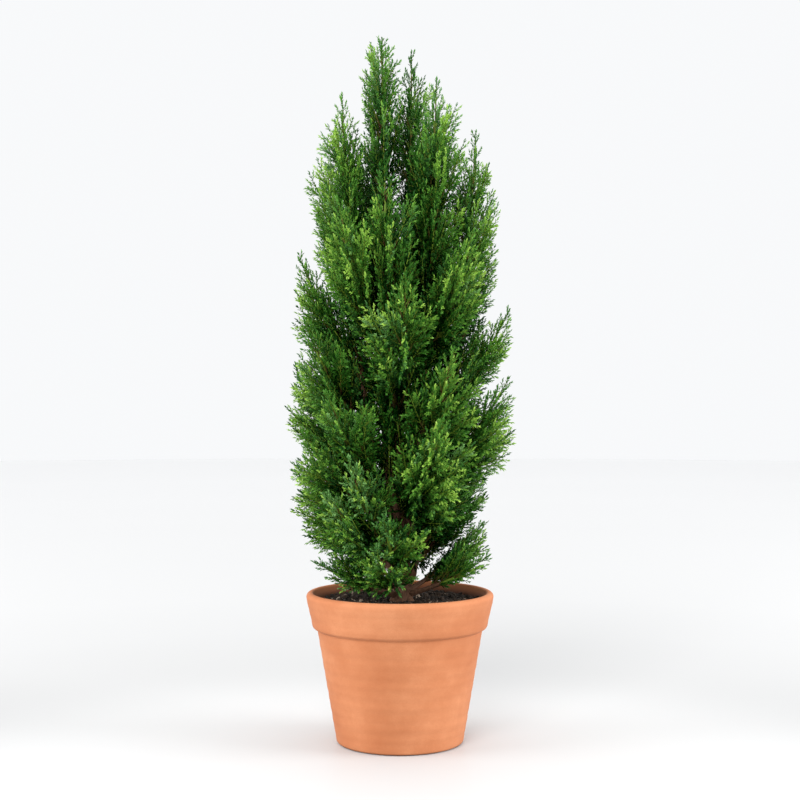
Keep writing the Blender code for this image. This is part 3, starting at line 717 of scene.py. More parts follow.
LIMBS = plan_limbs()
BOUGH_COLUMNS = 18
FOOT_ROWS = 14  # of the stretch that runs down into the trunk
bough_tubes = []
for limb in LIMBS:
    if limb.bare:
        rows = max(24, int(limb.length * (limb.bare - limb.start) / (0.7 * MM)))
        inside, joint = trunk_centre(limb.foot.z - 2.5 * MM), limb.at(limb.start)
        turns = [i / FOOT_ROWS for i in range(FOOT_ROWS)]
        foot = [(1 - s) ** 2 * inside + 2 * s * (1 - s) * limb.foot + s * s * joint for s in turns]
        line = np.concatenate([[tuple(point) for point in foot], limb.line(limb.start, limb.bare, rows)])
        share = np.concatenate((np.zeros(FOOT_ROWS), np.linspace(0, 1, rows)))[:, None]
        swelling = 0.3 * limb.radius * np.exp(-share * limb.length * limb.bare / (2.2 * MM))
        radii = limb.radius + (STEM_TIP_RADIUS - limb.radius) * share + swelling
        bough_tubes.append(bark_tube(line, radii, BOUGH_COLUMNS, limb.number))
bough_bark = add_bark("bough_bark", bough_tubes)
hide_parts(*[f"bough_{limb.name}" for limb in LIMBS if limb.bare])


# ---- Sprays
# The foliage of each limb is a run of flat feathery sprays, set to its left and right and tilted round it. They
# take turns up the leafy part of the limb and shorten towards its tip, and each keeps to the limb's own space.

STEM_BARE = 0.12
STEM_RINGS = 5
TWIG_TIP_RADIUS = 0.45 * MM
SPRAY_SPACING = 11.0 * MM
SPRAY_RATIO = 0.55
SPRAY_LONGEST = 36 * MM
SPRAY_SHORTEST = 9 * MM
SPRAY_ANGLE = 40.0
SPRAY_UPWARD = 0.35
SPRAY_LIFT = 0.12
SPRAY_WIDTH = 0.24
SPRAY_RIB = 0.45 * MM
SPRAY_TEETH = (
    (0.18, 0.44, 1.0),
    (0.42, 0.50, 0.24),
    (0.58, 0.80, 0.68),
)
LONG_SPRAY = 21 * MM
LONG_SPRAY_TEETH = (
    (0.13, 0.34, 1.0),
    (0.31, 0.39, 0.28),
    (0.42, 0.60, 0.84),
    (0.57, 0.65, 0.22),
    (0.68, 0.86, 0.54),
)
TIP_SPRAY = 13 * MM
TIP_OVERLAP = 1.6 * MM
SPRAY_SHRINKS = (1.0, 0.84, 0.7, 0.58, 0.48)
SPRAY_ROLLS = (0, 24, -24, 48, -48)
SPACE_MARGIN = 0.45 * MM
ROOT_ROOM = 3.5 * MM
SPRAY_ROOM = 1.5 * MM
GAP_TRIES = 20000  # places looked at for a narrow spray between the large ones
GAP_SIZE = 4.8 * MM  # how far such a place lies from any spray
LOW_GAP_SIZE = 3.6 * MM
LOW_GAPS_END = 92 * MM
GAP_CONE_HEIGHTS = (95 * MM, 190 * MM, 250 * MM, 285 * MM)
GAP_CONES = (0.95, 0.48, 0.44, 0.32)  # and how far from its limb, against its distance from the limb's tip
GAP_LONGEST = 38 * MM
GAP_SHORTEST = 5.5 * MM
GAP_LOWEST_FOOT = 82 * MM  # on bare wood in the middle of the pot, which stays in sight
GAP_MIDDLE = 11 * MM


def leafy_start(limb):
    """Where a mass's own stem begins on its limb: past the bough's tip, or off the trunk."""
    return limb.bare + GAP / limb.length if limb.bare else limb.start


def stem_points(limb):
    """The corners of a mass's stem, which ends just inside the spray at its tip."""
    return limb.points(leafy_start(limb), 1 - (TIP_SPRAY - TIP_OVERLAP) / limb.length, STEM_RINGS)


def on_stem(limb, from_tip):
    """The point of the stem's middle line that lies this far from the limb's tip."""
    points = stem_points(limb)
    start, end = leafy_start(limb), 1 - (TIP_SPRAY - TIP_OVERLAP) / limb.length
    place = (1 - from_tip / limb.length - start) / (end - start) * (STEM_RINGS - 1)
    i = min(int(place), STEM_RINGS - 2)
    return points[i].lerp(points[i + 1], place - i)


class Spray:
    """A toothed blade in the plane of its stem and its own direction: root + direction s + lift s^2."""

    def __init__(self, root, along, away, angle, length, upward):
        direction = along * math.cos(angle) + away * math.sin(angle) + Vector((0, 0, upward))
        direction.normalize()
        face = away.cross(along)
        face = (face - direction * face.dot(direction)).normalized()
        across = direction.cross(face).normalized()
        lift = Vector((0, 0, SPRAY_LIFT * length))
        self.root = root
        self.direction = direction
        self.face = face
        self.length = length
        self.tip = root + direction * length + lift
        self.rings = []
        for rib, side, reach in SPRAY_TEETH if length < LONG_SPRAY else LONG_SPRAY_TEETH:
            half = SPRAY_WIDTH * length * reach
            centre = root + direction * length * rib + lift * rib**2
            edge = root + direction * length * side + lift * side**2
            self.rings.append((edge + across * half, centre + face * SPRAY_RIB, edge - across * half))

    def samples(self):
        """Points spread over the blade, for telling whether it keeps to its space."""
        stations = [(self.root,) * 3, *self.rings, (self.tip,) * 3]
        found = []
        for low, high in zip(stations, stations[1:]):
            for share in (0.2, 0.4, 0.6, 0.8, 1.0):
                left, rib, right = [a.lerp(b, share) for a, b in zip(low, high)]
                found += [left, left.lerp(rib, 0.33), left.lerp(rib, 0.67), rib]
                found += [right, right.lerp(rib, 0.33), right.lerp(rib, 0.67)]
        return found


def tree_of(points):
    """The points in a tree that finds the nearest of them."""
    tree = KDTree(len(points))
    for i, point in enumerate(points):
        tree.insert(point, i)
    tree.balance()
    return tree


class Space:
    """What a limb's foliage keeps to: nearer its own curve than any other, inside the crown's outline."""

    def __init__(self, limb, limbs, bare):
        self.own = tree_of(limb.path)
        self.others = tree_of([p for other in limbs if other is not limb for p in other.path])
        self.bare = bare
        self.filled = []
        self.leafy = None

    def take(self, spray):
        """Fills the space with one more spray."""
        self.filled += [p for p in spray.samples() if self.own.find(p)[2] > ROOT_ROOM]
        self.leafy = tree_of(self.filled)

    def holds(self, points, apart=True):
        """Whether all points lie in the space, and apart from the sprays in it."""
        for point in points:
            if math.hypot(point.x, point.y) > crown_reach(point.z):
                return False
            if point.z < POT_HEIGHT + 2 * GAP or trunk_room(point) < SPACE_MARGIN:
                return False
            mine = max(self.own.find(point)[2], TWIG_RADIUS)
            if self.others.find(point)[2] < mine + SPACE_MARGIN:
                return False
            if apart and self.filled and mine > ROOT_ROOM and self.leafy.find(point)[2] < SPRAY_ROOM:
                return False
            if self.bare.find(point)[2] < STEM_RADIUS + SPACE_MARGIN:
                return False
        return True


def tip_spray(limb):
    """The spray that ends a limb: it runs straight on to the limb's tip."""
    root = on_stem(limb, TIP_SPRAY)
    run = limb.tip - root
    outward = Vector((limb.tip.x, limb.tip.y, 0))
    outward = (outward - run * outward.dot(run) / run.length_squared).normalized()
    side = (outward + run.cross(outward).normalized()).normalized()
    spray = Spray(root, run.normalized(), side, 0, run.length, 0)
    spray.tip = limb.tip
    return spray


def outward_at(root, along):
    """The direction away from the crown's middle, square to the stem."""
    outward = Vector((root.x, root.y, 0)) - along * along.dot(Vector((root.x, root.y, 0)))
    return outward.normalized() if outward.length > 1e-6 else cross_section(along)[0]


def sprays_on(limb, space):
    """The large sprays of a mass, each side one turned or shortened until its space holds it."""
    leafy = (1 - leafy_start(limb)) * (1 - STEM_BARE) * limb.length
    found = [tip_spray(limb)]
    space.take(found[0])
    for i in range(int(2 * (leafy - TIP_SPRAY) / SPRAY_SPACING + 0.5)):
        side = -1 if i % 2 else 1
        from_tip = TIP_SPRAY + (i + 0.4 * random_of(limb.number, i, 3)) * SPRAY_SPACING / 2
        t = 1 - from_tip / limb.length
        root, along = on_stem(limb, from_tip), limb.along(t)
        outward = outward_at(root, along)
        tangent = along.cross(outward)
        roll = side * ((76 if i % 4 < 2 else 26) + 24 * (random_of(limb.number, i, 5) - 0.5))
        angle = math.radians(SPRAY_ANGLE + 10 * (random_of(limb.number, i, 8) - 0.5))
        length = min(SPRAY_LONGEST, SPRAY_RATIO * from_tip + 6 * MM)
        length *= 0.85 + 0.3 * random_of(limb.number, i, 11)
        upward = SPRAY_UPWARD * (root.z - POT_HEIGHT) / (TOTAL_HEIGHT - POT_HEIGHT)
        for shrink in SPRAY_SHRINKS:
            if length * shrink < SPRAY_SHORTEST:
                break
            spray = None
            for turn in SPRAY_ROLLS:
                turned_by = math.radians(roll + turn)
                away = outward * math.cos(turned_by) + tangent * math.sin(turned_by)
                tried = Spray(root, along, away, angle, length * shrink, upward)
                if space.holds(tried.samples()):
                    spray = tried
                    break
            if spray:
                found.append(spray)
                space.take(spray)
                break
    return found


bare_tree = tree_of([p for limb in LIMBS if limb.bare for p in limb.points(0, limb.bare, PATH_POINTS)])
path_tree = tree_of([point for limb in LIMBS for point in limb.path])
spaces = [Space(limb, LIMBS, bare_tree) for limb in LIMBS]
sprays = [(limb.number, spray, True) for limb in LIMBS for spray in sprays_on(limb, spaces[limb.number])]


def filling(large):
    """Narrow sprays from the nearest limb to places that are far from every spray, tried in a seeded order.

    The root lies back along the limb by 1.4 to 2.6 times the place's distance, so that the spray stands at 20 to
    35 degrees to it. Each limb's sprays stay in a cone under its tip, so that the tips stand out of the crown.
    """
    draw = np.random.default_rng(90)
    shares = (0.2, 0.4, 0.6, 0.8, 1.0)
    rows = [tuple(spray.root.lerp(spray.tip, share)) for _, spray, _ in large for share in shares]
    rows += [tuple(ring[side]) for _, spray, _ in large for ring in spray.rings[::2] for side in (0, 2)]
    taken = np.full((len(rows) + 4 * GAP_TRIES, 3), 9.0)
    taken[: len(rows)] = rows
    last = len(rows)
    found = []
    for height, bearing, out, back, twist in draw.random((GAP_TRIES, 5)).tolist():
        z = 68 * MM + (TOTAL_HEIGHT - 72 * MM) * height**1.15
        tip = polar(360 * bearing, float(crown_reach(z)) * math.sqrt(0.05 + 0.95 * out), z)
        least = GAP_SIZE if z > LOW_GAPS_END else LOW_GAP_SIZE
        if np.linalg.norm(taken[:last] - tuple(tip), axis=1).min() < least:
            continue
        _, index, apart = path_tree.find(tip)
        limb = LIMBS[index // PATH_POINTS]
        share = index % PATH_POINTS / (PATH_POINTS - 1)
        cone = np.interp(z, GAP_CONE_HEIGHTS, GAP_CONES)
        if apart > cone * (1 - share) * limb.length + 1.5 * MM:
            continue
        t = max(share - apart * (1.4 + 1.2 * back) / limb.length, limb.start + 0.02)
        root = limb.at(t)
        run = tip - root
        if not GAP_SHORTEST < run.length < GAP_LONGEST:
            continue
        if root.z < GAP_LOWEST_FOOT and math.hypot(root.x, root.y) < GAP_MIDDLE:
            continue
        if not spaces[limb.number].holds([root.lerp(tip, share) for share in (0.7, 1.0)], apart=False):
            continue
        along = limb.along(t)
        away = (run - along * run.dot(along)).normalized()
        away = (away + along.cross(away) * (twist - 0.5) * 1.2).normalized()
        spray = Spray(root, run.normalized(), away, 0, run.length, 0)
        spray.tip = tip
        found.append((limb.number, spray, False))
        taken[last : last + 4] = [tuple(root.lerp(tip, share)) for share in (0.4, 0.6, 0.8, 1.0)]
        last += 4
    return found


sprays += filling(sprays)


# ---- Twigs
# Each spray is a feathery plume: an axis with twigs left and right at some 38 degrees that turn up a little.
# Large sprays fork into side plumes of the same build. Old wood is brown and this year's growth is yellow-green.

FORK_ANGLE = 33.0
FORK_REACH = 0.92  # of the tooth that the side plume stands for
FORK_SHORTEST = 4.5 * MM
FORK_FROM_TIP = 26 * MM  # nearer a limb's tip the sprays bear plain twigs only
TWIG_SPACING = 4.6 * MM  # on one side of an axis
TWIG_ANGLE = 38.0
TWIG_SHORTEST = 2.0 * MM
TWIG_RATIO = 0.50
TWIG_LONGEST = (8.2 * MM, 5.6 * MM)  # on a spray's own axis, and on a side plume's
TWIGLET = (0.46, 2.3 * MM, 6.2 * MM)  # place on a twig, length, and the shortest twig that has one each side
TWIG_BEND = 0.22  # how far a twig turns back towards its parent's direction
growth = np.random.default_rng(1207)


def jitter(count):
    """Numbers from -0.5 to 0.5, the next ones of the growth."""
    return growth.random(count) - 0.5


class Axes:
    """Many twigs of one order as arrays: root + way L s + bend L s^2 for s from 0 to 1, flat to the face."""

    def __init__(self, *fields):
        self.fields = fields
        self.root, self.way, self.bend, self.face, self.length, self.limb, self.spray, self.place = fields

    def at(self, share):
        """The point of each twig at its share s."""
        run = self.length[:, None] * share[:, None]
        return self.root + self.way * run + self.bend * run * share[:, None]

    def heading(self, share):
        """The direction of each twig at its share s."""
        made = self.way + 2 * self.bend * share[:, None]
        return made / np.linalg.norm(made, axis=1)[:, None]

    def only(self, kept):
        """The twigs with these numbers, or those marked as kept."""
        return Axes(*[field[kept] for field in self.fields])


def flat_to(face, way):
    """The face direction made square to the way, both of length one."""
    made = face - way * (face * way).sum(1)[:, None]
    return made / np.maximum(np.linalg.norm(made, axis=1), 1e-9)[:, None]


def branching(parents, owner, station, side, angle, tilt, length):
    """Twigs that leave their owners at a station: heading cos a + (side across cos b + face sin b) sin a."""
    held = parents.only(owner)
    heading = held.heading(station)
    face = flat_to(held.face, heading)
    across = np.cross(heading, face) * side[:, None]
    outward = across * np.cos(tilt)[:, None] + face * np.sin(tilt)[:, None]
    way = heading * np.cos(angle)[:, None] + outward * np.sin(angle)[:, None]
    turned_face = flat_to(face * np.cos(tilt)[:, None] - across * np.sin(tilt)[:, None], way)
    bend = (heading - way) * TWIG_BEND
    place = held.place + (1 - held.place) * station
    return Axes(held.at(station), way, bend, turned_face, length, held.limb, held.spray, place)


def numbered(counts):
    """For each parent its number counts times over, and beside it 0, 1, 2 ... within that parent."""
    owner = np.repeat(np.arange(len(counts)), counts)
    return owner, np.arange(len(owner)) - np.repeat(np.cumsum(counts) - counts, counts)


def keeps(points, limbs):
    """Which points are nearest their own limb, in the outline, over the pot or compost, and off bare wood."""
    found = [path_tree.find(point) for point in points]
    nearest = np.array([index for _, index, _ in found]) // PATH_POINTS
    off_wood = np.array([bare_tree.find(point)[2] for point in points]) > STEM_RADIUS + 0.15 * MM
    reach = np.hypot(points[:, 0], points[:, 1])
    inside = reach < crown_reach(points[:, 2]) + 1.0 * MM
    lowest = np.where(reach < LIP_INNER_RADIUS - 1 * MM, COMPOST_LEVEL + 1.2 * MM, POT_HEIGHT + GAP)
    high = points[:, 2] > lowest
    return (nearest == limbs) & off_wood & inside & high & (points[:, 2] < TOTAL_HEIGHT + 0.4 * MM)


def rows_of(values):
    """Vectors as the rows of an array."""
    return np.array([tuple(value) for value in values])


# Large sprays lift a little. Near a limb's tip a spray stays short and closes in on the limb.
from_tip = np.array([(LIMBS[number].tip - spray.root).length for number, spray, _ in sprays])
is_large = np.array([large for _, _, large in sprays])
is_tip = np.array([spray.tip is LIMBS[number].tip for number, spray, _ in sprays])
young = is_large & ~is_tip
limb_way = rows_of([LIMBS[number].along(0.9) for number, _, _ in sprays])
main_way = rows_of([spray.direction for _, spray, _ in sprays])
main_way += limb_way * (young * np.interp(from_tip, (13 * MM, 40 * MM), (0.35, 0.0)))[:, None]
main_way /= np.linalg.norm(main_way, axis=1)[:, None]
main_length = np.array([spray.length for _, spray, _ in sprays])
main_length *= np.where(young, np.interp(from_tip, (13 * MM, 36 * MM), (0.62, 1.0)), 1.0)
main_axes = Axes(
    rows_of([spray.root for _, spray, _ in sprays]),
    main_way,
    np.where(is_tip, 0.0, np.where(is_large, 0.20, 0.14))[:, None] * (0.0, 0.0, 1.0),
    flat_to(rows_of([spray.face for _, spray, _ in sprays]), main_way),
    main_length,
    np.array([number for number, _, _ in sprays]),
    np.arange(len(sprays)),
    np.zeros(len(sprays)),
)


def along_with(first, second):
    """Two lots of axes as one."""
    return Axes(*[np.concatenate(pair) for pair in zip(first.fields, second.fields)])


# Side plumes fork off where the blade's teeth stand: left and right of each tooth, a little apart along the axis
forks = []
is_long = main_axes.length >= LONG_SPRAY
for teeth, of_length in ((SPRAY_TEETH, ~is_long), (LONG_SPRAY_TEETH, is_long)):
    for _, tooth, reach in teeth[::2]:
        for hand in (-1.0, 1.0):
            owner = np.flatnonzero(of_length & is_large & (from_tip > FORK_FROM_TIP))
            angle = np.radians(FORK_ANGLE + 8 * jitter(len(owner)))
            out = SPRAY_WIDTH * reach * FORK_REACH * (0.85 + 0.25 * growth.random(len(owner)))
            station = np.clip(tooth + 0.03 * hand - out / np.tan(angle), 0.04, 0.9)
            tilt = np.radians(16) * growth.normal(size=len(owner))
            length = out * main_axes.length[owner] / np.sin(angle)
            hands = np.full(len(owner), hand)
            forks.append(branching(main_axes, owner, station, hands, angle, tilt, length))

# Each limb's last stretch bears side plumes all round, a golden angle apart, longer the further from its tip
SPIRE_COUNT = 21
SPIRE_START = 2.2 * MM  # below the tip
SPIRE_STEPS = (1.5 * MM, 0.045 * MM)  # from each to the next at first, and half of what each step adds to it
SPIRE_PLAIN = 7.0 * MM  # shorter ones have no twigs of their own
SPIRE_ANGLE = 35.0
SPIRE_LENGTH = (2.2 * MM, 0.41)  # and by how much each millimetre from the tip adds
owner, place = numbered(np.full(len(LIMBS), SPIRE_COUNT))
step = place + 0.5 * jitter(len(owner))
below = SPIRE_START + SPIRE_STEPS[0] * step + SPIRE_STEPS[1] * step**2
stations = [(LIMBS[number], 1 - d / LIMBS[number].length) for number, d in zip(owner.tolist(), below.tolist())]
points = rows_of([limb.at(t) for limb, t in stations])
heading = rows_of([limb.along(t) for limb, t in stations])
level = flat_to(np.broadcast_to((0.3, 0.95, 0.0), heading.shape), heading)
turn = np.radians(137.5 * place + 50 * owner)[:, None]
outward = level * np.cos(turn) + np.cross(heading, level) * np.sin(turn)
angle = np.radians(SPIRE_ANGLE + 8 * jitter(len(owner)))[:, None]
way = heading * np.cos(angle) + outward * np.sin(angle)
length = (SPIRE_LENGTH[0] + SPIRE_LENGTH[1] * below) * (0.85 + 0.3 * growth.random(len(owner)))
length *= below < 0.6 * np.array([limb.length for limb, _ in stations])
tip_of = np.flatnonzero(is_tip)
face = flat_to(np.cross(heading, outward), way)
bend = (heading - way) * TWIG_BEND
spire = Axes(points, way, bend, face, length, owner, tip_of[owner], np.full(len(owner), 0.3))
side_plumes = forks[0]
for more in [*forks[1:], spire]:
    side_plumes = along_with(side_plumes, more)
side_plumes = side_plumes.only(keeps(side_plumes.at(np.ones(len(side_plumes.length))), side_plumes.limb))
on_spire = side_plumes.spray[:, None] == tip_of
plain = (side_plumes.length > 1.5 * MM) & on_spire.any(1) & (side_plumes.length < SPIRE_PLAIN)
spire_twigs = side_plumes.only(plain)
side_plumes = side_plumes.only(~plain & (side_plumes.length > FORK_SHORTEST))


def twigs_on(axes, longest):
    """Twigs left and right in turn along each axis, longer the further they stand from its tip."""
    owner, place = numbered(np.maximum(3, np.round(axes.length * 0.94 / TWIG_SPACING * 2)).astype(int))
    count = np.bincount(owner)[owner]
    station = 0.05 + 0.90 * (place + 0.5 + 0.5 * jitter(len(owner))) / count
    length = TWIG_SHORTEST + TWIG_RATIO * (1 - station) * axes.length[owner]
    length = np.minimum(length, longest) * (0.80 + 0.34 * growth.random(len(owner)))
    length = np.minimum(length, 0.75 * axes.length[owner])
    angle = np.radians(TWIG_ANGLE + 10 * jitter(len(owner)))
    tilt = np.radians(13) * growth.normal(size=len(owner))
    side = np.where((place + owner) % 2, 1.0, -1.0)
    made = branching(axes, owner, station, side, angle, tilt, length)
    return made.only(keeps(made.at(np.ones(len(owner))), made.limb))


grown = main_axes.only(~is_large | (from_tip > FORK_FROM_TIP))
twigs = along_with(twigs_on(grown, TWIG_LONGEST[0]), twigs_on(side_plumes, TWIG_LONGEST[1]))
twigs = along_with(twigs, spire_twigs)
place, length, shortest = TWIGLET
for hand in (-1.0, 1.0):
    owner = np.flatnonzero(twigs.length > shortest)
    station = place + 0.10 * hand + 0.12 * jitter(len(owner))
    angle = np.radians(38 + 10 * jitter(len(owner)))
    tilt = np.radians(12) * growth.normal(size=len(owner))
    lengths = length * (0.8 + 0.4 * growth.random(len(owner)))
    more = branching(twigs, owner, station, np.full(len(owner), hand), angle, tilt, lengths)
    twigs = along_with(twigs, more.only(keeps(more.at(np.ones(len(owner))), more.limb)))


def tubes_along(line, face, across, radius, sides):
    """Tubes along many lines at once: rings of corners, the last one drawn to a point, and quads, tips and feet.

    Corner k of ring i is line_i + radius_i (face_i cos a_k + across_i sin a_k), with a_k = 2 pi k / sides.
    """
    number, rings = line.shape[:2]
    angle = 2 * np.pi * np.arange(sides) / sides
    spokes = face[:, :, None] * np.cos(angle)[:, None] + across[:, :, None] * np.sin(angle)[:, None]
    corners = (line[:, :, None] + spokes * radius[..., None, None])[:, :-1].reshape(number, -1, 3)
    points = np.concatenate((corners, line[:, -1:]), 1)
    each = points.shape[1]
    first = each * np.arange(number)[:, None, None]
    quads = (around(rings - 1, sides)[None] + first).reshape(-1, 4) if rings > 2 else np.zeros((0, 4), int)
    tips = (fan((rings - 2) * sides, sides, each - 1)[None] + first).reshape(-1, 3)
    feet = (np.arange(sides)[::-1][None] + first[:, 0]).reshape(-1, sides)
    return points.reshape(-1, 3), quads, tips, feet


def twig_shapes(axes, rings, sides, thick, thin):
    """Tubes along twigs, which taper from thick to thin."""
    share = np.linspace(0, 1, rings)
    number = len(axes.length)
    line = np.stack([axes.at(np.full(number, s)) for s in share], 1)
    heading = np.stack([axes.heading(np.full(number, s)) for s in share], 1)
    face = axes.face[:, None] - heading * (heading * axes.face[:, None]).sum(2)[..., None]
    face /= np.linalg.norm(face, axis=2)[..., None]
    across = np.cross(heading, face)
    radius = thick[:, None] + (thin - thick)[:, None] * share
    return tubes_along(line, face, across, radius, sides)


def leaf_colour(red, green, blue):
    """A colour given as it looks on paper, 0 to 255, turned into amounts of light."""
    value = np.array((red, green, blue)) / 255
    return tuple(np.where(value < 0.04045, value / 12.92, ((value + 0.055) / 1.055) ** 2.4).tolist())


def plain_finish(name, colour, roughness, gloss):
    """A material of one colour."""
    made, shader = new_material(name, roughness, gloss)
    give(shader, {"Base Color": (*colour, 1)})
    return made


old_wood = plain_finish("twig_old_wood", leaf_colour(74, 48, 28), 0.8, 0.15)
young_wood = plain_finish("twig_young_wood", leaf_colour(88, 80, 32), 0.65, 0.2)
green_wood = plain_finish("twig_green", leaf_colour(96, 120, 34), 0.55, 0.2)
twig_finishes = [old_wood, young_wood, green_wood]
masses = [f"foliage_{limb.name}" for limb in LIMBS]


def add_twigs(name, parts, slots):
    """One mesh of several lots of tubes, each with the finishes of its quads, tips and feet."""
    starts = np.cumsum([0] + [len(part[0]) for part in parts])
    points = np.concatenate([part[0] for part in parts])
    quads = np.concatenate([part[1] + start for part, start in zip(parts, starts)])
    others = [part[i] + start for part, start in zip(parts, starts) for i in (2, 3)]
    colours = np.concatenate([s[0] for s in slots] + [colour for s in slots for colour in s[1:]])
    made = add_mesh(name, points, [quads, *others], twig_finishes, colours)
    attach(made, "root")
    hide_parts(*masses)
    return made


# The stems that the sprays stand on run from the boughs or the trunk to the tips, brown below and green above
STEM_ROWS = 26
STEM_SIDES = 6
GREEN_STEM = (36 * MM, 66 * MM)  # from the tip: green up to here, then yellowish, then brown
STEM_SUNK = 0.9 * MM  # how far a stem starts inside its bough
STEM_END = 11 * MM  # from the tip, where the last spray takes over
stem_starts = [leafy_start(limb) if limb.bare or not limb.number else 0 for limb in LIMBS]
stem_starts = [start - STEM_SUNK / limb.length for limb, start in zip(LIMBS, stem_starts)]
stem_lines = [limb.line(s, 1 - STEM_END / limb.length, STEM_ROWS) for limb, s in zip(LIMBS, stem_starts)]
stem_lines = np.stack(stem_lines)
stem_heading = np.gradient(stem_lines, axis=1)
stem_heading /= np.linalg.norm(stem_heading, axis=2)[..., None]
stem_level = np.cross((0.02, 0.01, 1.0), stem_heading)
stem_level /= np.linalg.norm(stem_level, axis=2)[..., None]
stem_up = np.cross(stem_heading, stem_level)
stem_radius = np.linspace(TWIG_RADIUS, TWIG_TIP_RADIUS, STEM_ROWS)[None]
stems = tubes_along(stem_lines, stem_level, stem_up, stem_radius, STEM_SIDES)
to_tip = np.linalg.norm(stem_lines - rows_of([limb.tip for limb in LIMBS])[:, None], axis=2)
stem_slots = (
    np.repeat(2 - np.digitize(to_tip[:, : STEM_ROWS - 2], GREEN_STEM), STEM_SIDES),
    np.full(len(stems[2]), 2),
    np.zeros(len(stems[3])),
)

MAIN_RINGS = 6
main_thick = 0.20 * MM + 0.0085 * main_axes.length
mains = twig_shapes(main_axes, MAIN_RINGS, 4, main_thick, main_thick * 0.4)
main_row = np.tile(np.repeat(np.arange(MAIN_RINGS - 2), 4), len(main_axes.length))
main_slots = (np.digitize(main_row, (0.5, 1.5)), np.full(len(mains[2]), 2), np.zeros(len(mains[3])))
add_twigs("spray_axes", [stems, mains], [stem_slots, main_slots])

fork_thick = 0.17 * MM + 0.010 * side_plumes.length
fork_shapes = twig_shapes(side_plumes, 5, 3, fork_thick, fork_thick * 0.5)
twig_thick = np.full(len(twigs.length), 0.19 * MM)
twig_parts = twig_shapes(twigs, 2, 3, twig_thick, twig_thick)
fork_slots = [np.full(len(part), 2) for part in fork_shapes[1:]]
twig_slots = [np.full(len(part), 2) for part in twig_parts[1:]]
add_twigs("side_twigs", [fork_shapes, twig_parts], [fork_slots, twig_slots])


# ---- Needles
# Short blunt awl-shaped leaves in crossed pairs all along the young twigs, keeled on the back, with a tuft at
# every tip. Lime on the newest tips, blue-green behind them, and deep green inside the crown where light is
# scarce:
# that deep green is painted shade, laid over the shade that the crown itself casts.

NEEDLE_SPACING = 1.06 * MM
NEEDLE_LENGTH = 1.9 * MM
NEEDLE_WIDTH = 0.66 * MM
NEEDLE_KEEL = 0.30 * MM
NEEDLE_ANGLE = 30.0
NEEDLE_BELLY = 0.58  # where along its length a needle is widest
MOST_NEEDLES = 38000  # in one piece, give or take one limb
# The darkest greens and blue-greens serve as painted shade for twigs deep in the crown
GREENS = (
    (0, 26, 0), (8, 46, 4), (26, 70, 12), (46, 94, 26), (64, 114, 36),
    (84, 134, 44), (104, 150, 50), (126, 168, 60), (146, 184, 74),
)
BLUE_GREENS = ((0, 26, 1), (10, 48, 10), (30, 74, 26), (56, 102, 44), (80, 126, 62), (112, 156, 88))
BLUE_SHARE = 0.35  # of the sprays that are blue-green up to where their newest twigs start
BLUE_END = 0.72
leaf_finishes = [
    plain_finish(f"needle_{name}_{i + 1}", leaf_colour(*colour), 0.5, 0.02 + 0.03 * i)
    for name, colours in (("green", GREENS), ("blue", BLUE_GREENS))
    for i, colour in enumerate(colours)
]


def depth_of(axes):
    """0 deep in the crown, 1 at its outside and in its narrow top. In the needles' colour this is painted shade:
    darker deep in the crown.
    """
    middle = axes.at(np.full(len(axes.length), 0.7))
    outness = np.hypot(middle[:, 0], middle[:, 1]) / crown_reach(middle[:, 2])
    # The narrow top counts as further out: painted light that lightens its needles
    outness += (1 - outness) * 0.65 * np.clip((middle[:, 2] - 190 * MM) / (90 * MM), 0, 1)
    return np.clip((outness - 0.40) / 0.50, 0, 1)


def needles_on(axes, start, light):
    """Needle pairs along each axis from a share of its length on, every other pair turned a quarter round it.

    A needle leaves at its angle, and the last pair of a twig closes in on the tip with one more straight ahead.
    Older needles deep in the crown are larger and further apart.
    """
    inner = 1 - depth_of(axes)
    pairs = np.round(axes.length * (1 - start) / (NEEDLE_SPACING * (1 + 0.45 * inner)))
    pairs = np.maximum(2, pairs.astype(int))
    owner, place = numbered(pairs * 2 + 1)
    held = axes.only(owner)
    pair = place // 2
    last = pairs[owner]
    share = np.minimum(start + (1 - start) * (pair + 0.35) / last, 1.0)
    ahead = pair == last
    heading = held.heading(share)
    face = flat_to(held.face, heading)
    roll = np.pi * (place % 2) + np.radians(35) * (1 - 2 * (pair % 2)) + 0.6 * jitter(len(owner))
    across = np.cross(heading, face)
    outward = across * np.cos(roll)[:, None] + face * np.sin(roll)[:, None]
    spread = np.radians(NEEDLE_ANGLE + 12 * jitter(len(owner))) * np.where(pair == last - 1, 0.75, 1.0)
    spread = np.where(ahead, 0.08, spread)
    way = heading * np.cos(spread)[:, None] + outward * np.sin(spread)[:, None]
    back = outward * np.cos(spread)[:, None] - heading * np.sin(spread)[:, None]
    wide = np.cross(way, back)
    size = (0.82 + 0.36 * growth.random(len(owner))) * (1 + 0.30 * inner[owner])
    root = held.at(share)
    tone = light[owner] + 0.10 * (share - 0.5)
    blue = is_blue[held.spray] & (held.place < BLUE_END)
    return root, way, back, wide, size, held.limb, tone, blue


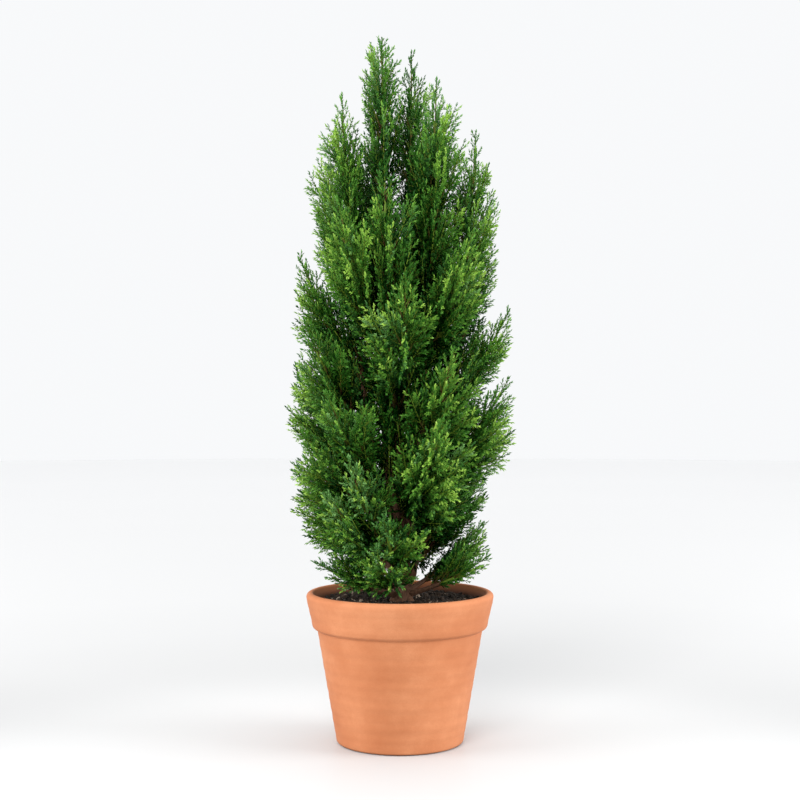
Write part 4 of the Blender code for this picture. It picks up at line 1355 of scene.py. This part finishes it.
def spray_light(axes):
    """How light a twig's needles are, 0 to 1: by its place in the crown, which is painted shade (darker deep
    inside), and by its age and its spray.
    """
    painted_light = depth_of(axes)
    own = np.random.default_rng(77).random(len(sprays))[axes.spray]
    lively = np.random.default_rng(78).random(len(sprays))[axes.spray] > 0.55
    low = 1 - 0.7 * np.clip((axes.root[:, 2] - 210 * MM) / (60 * MM), 0, 1)
    newest = 0.12 * axes.place**2 + 0.28 * low * lively * axes.place**4
    # Painted shade: the share from the twig's place in the crown, and the newest tips' lime only where it stands
    # out
    return 0.03 + 0.34 * painted_light + 0.15 * own + 0.20 * axes.place + newest * painted_light


is_blue = np.random.default_rng(79).random(len(sprays)) < BLUE_SHARE
lots = [
    needles_on(main_axes, 0.40, spray_light(main_axes)),
    needles_on(side_plumes, 0.25, spray_light(side_plumes)),
    needles_on(twigs, 0.14, spray_light(twigs)),
]
root, way, back, wide, size, on_limb, tone, blue = [np.concatenate(parts) for parts in zip(*lots)]
tip = root + way * (NEEDLE_LENGTH * size)[:, None]
kept = keeps(tip, on_limb)
root, way, back, wide, size, on_limb, tone, blue, tip = [
    part[kept] for part in (root, way, back, wide, size, on_limb, tone, blue, tip)
]
belly = root + way * (NEEDLE_LENGTH * NEEDLE_BELLY * size)[:, None] - back * (NEEDLE_KEEL * size)[:, None]
half = wide * (NEEDLE_WIDTH / 2 * size)[:, None]
needle_points = np.stack((root, tip, belly + half, belly - half), 1)
shade = np.clip((tone - 0.11) / 0.80, 0, 0.999)
shade = np.clip(shade + 0.018 * growth.normal(size=len(shade)), 0, 0.999)
needle_slots = np.where(
    blue, len(GREENS) + np.minimum(shade * 8, len(BLUE_GREENS) - 1), shade * len(GREENS)
).astype(int)

per_limb = np.bincount(on_limb, minlength=len(LIMBS))
group = (np.cumsum(per_limb) - 1) // MOST_NEEDLES
for number in range(int(group.max()) + 1):
    members = np.flatnonzero(group == number)
    mine = np.isin(on_limb, members)
    first = 4 * np.arange(int(mine.sum()))[:, None, None]
    faces = (np.array([(0, 2, 1), (0, 1, 3), (0, 3, 2), (1, 2, 3)])[None] + first).reshape(-1, 3)
    needles = add_mesh(
        f"needles_{number + 1}",
        needle_points[mine].reshape(-1, 3),
        [faces],
        leaf_finishes,
        np.repeat(needle_slots[mine], 4),
        smooth=False,
    )
    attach(needles, "root")
    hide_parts(*[masses[member] for member in members])
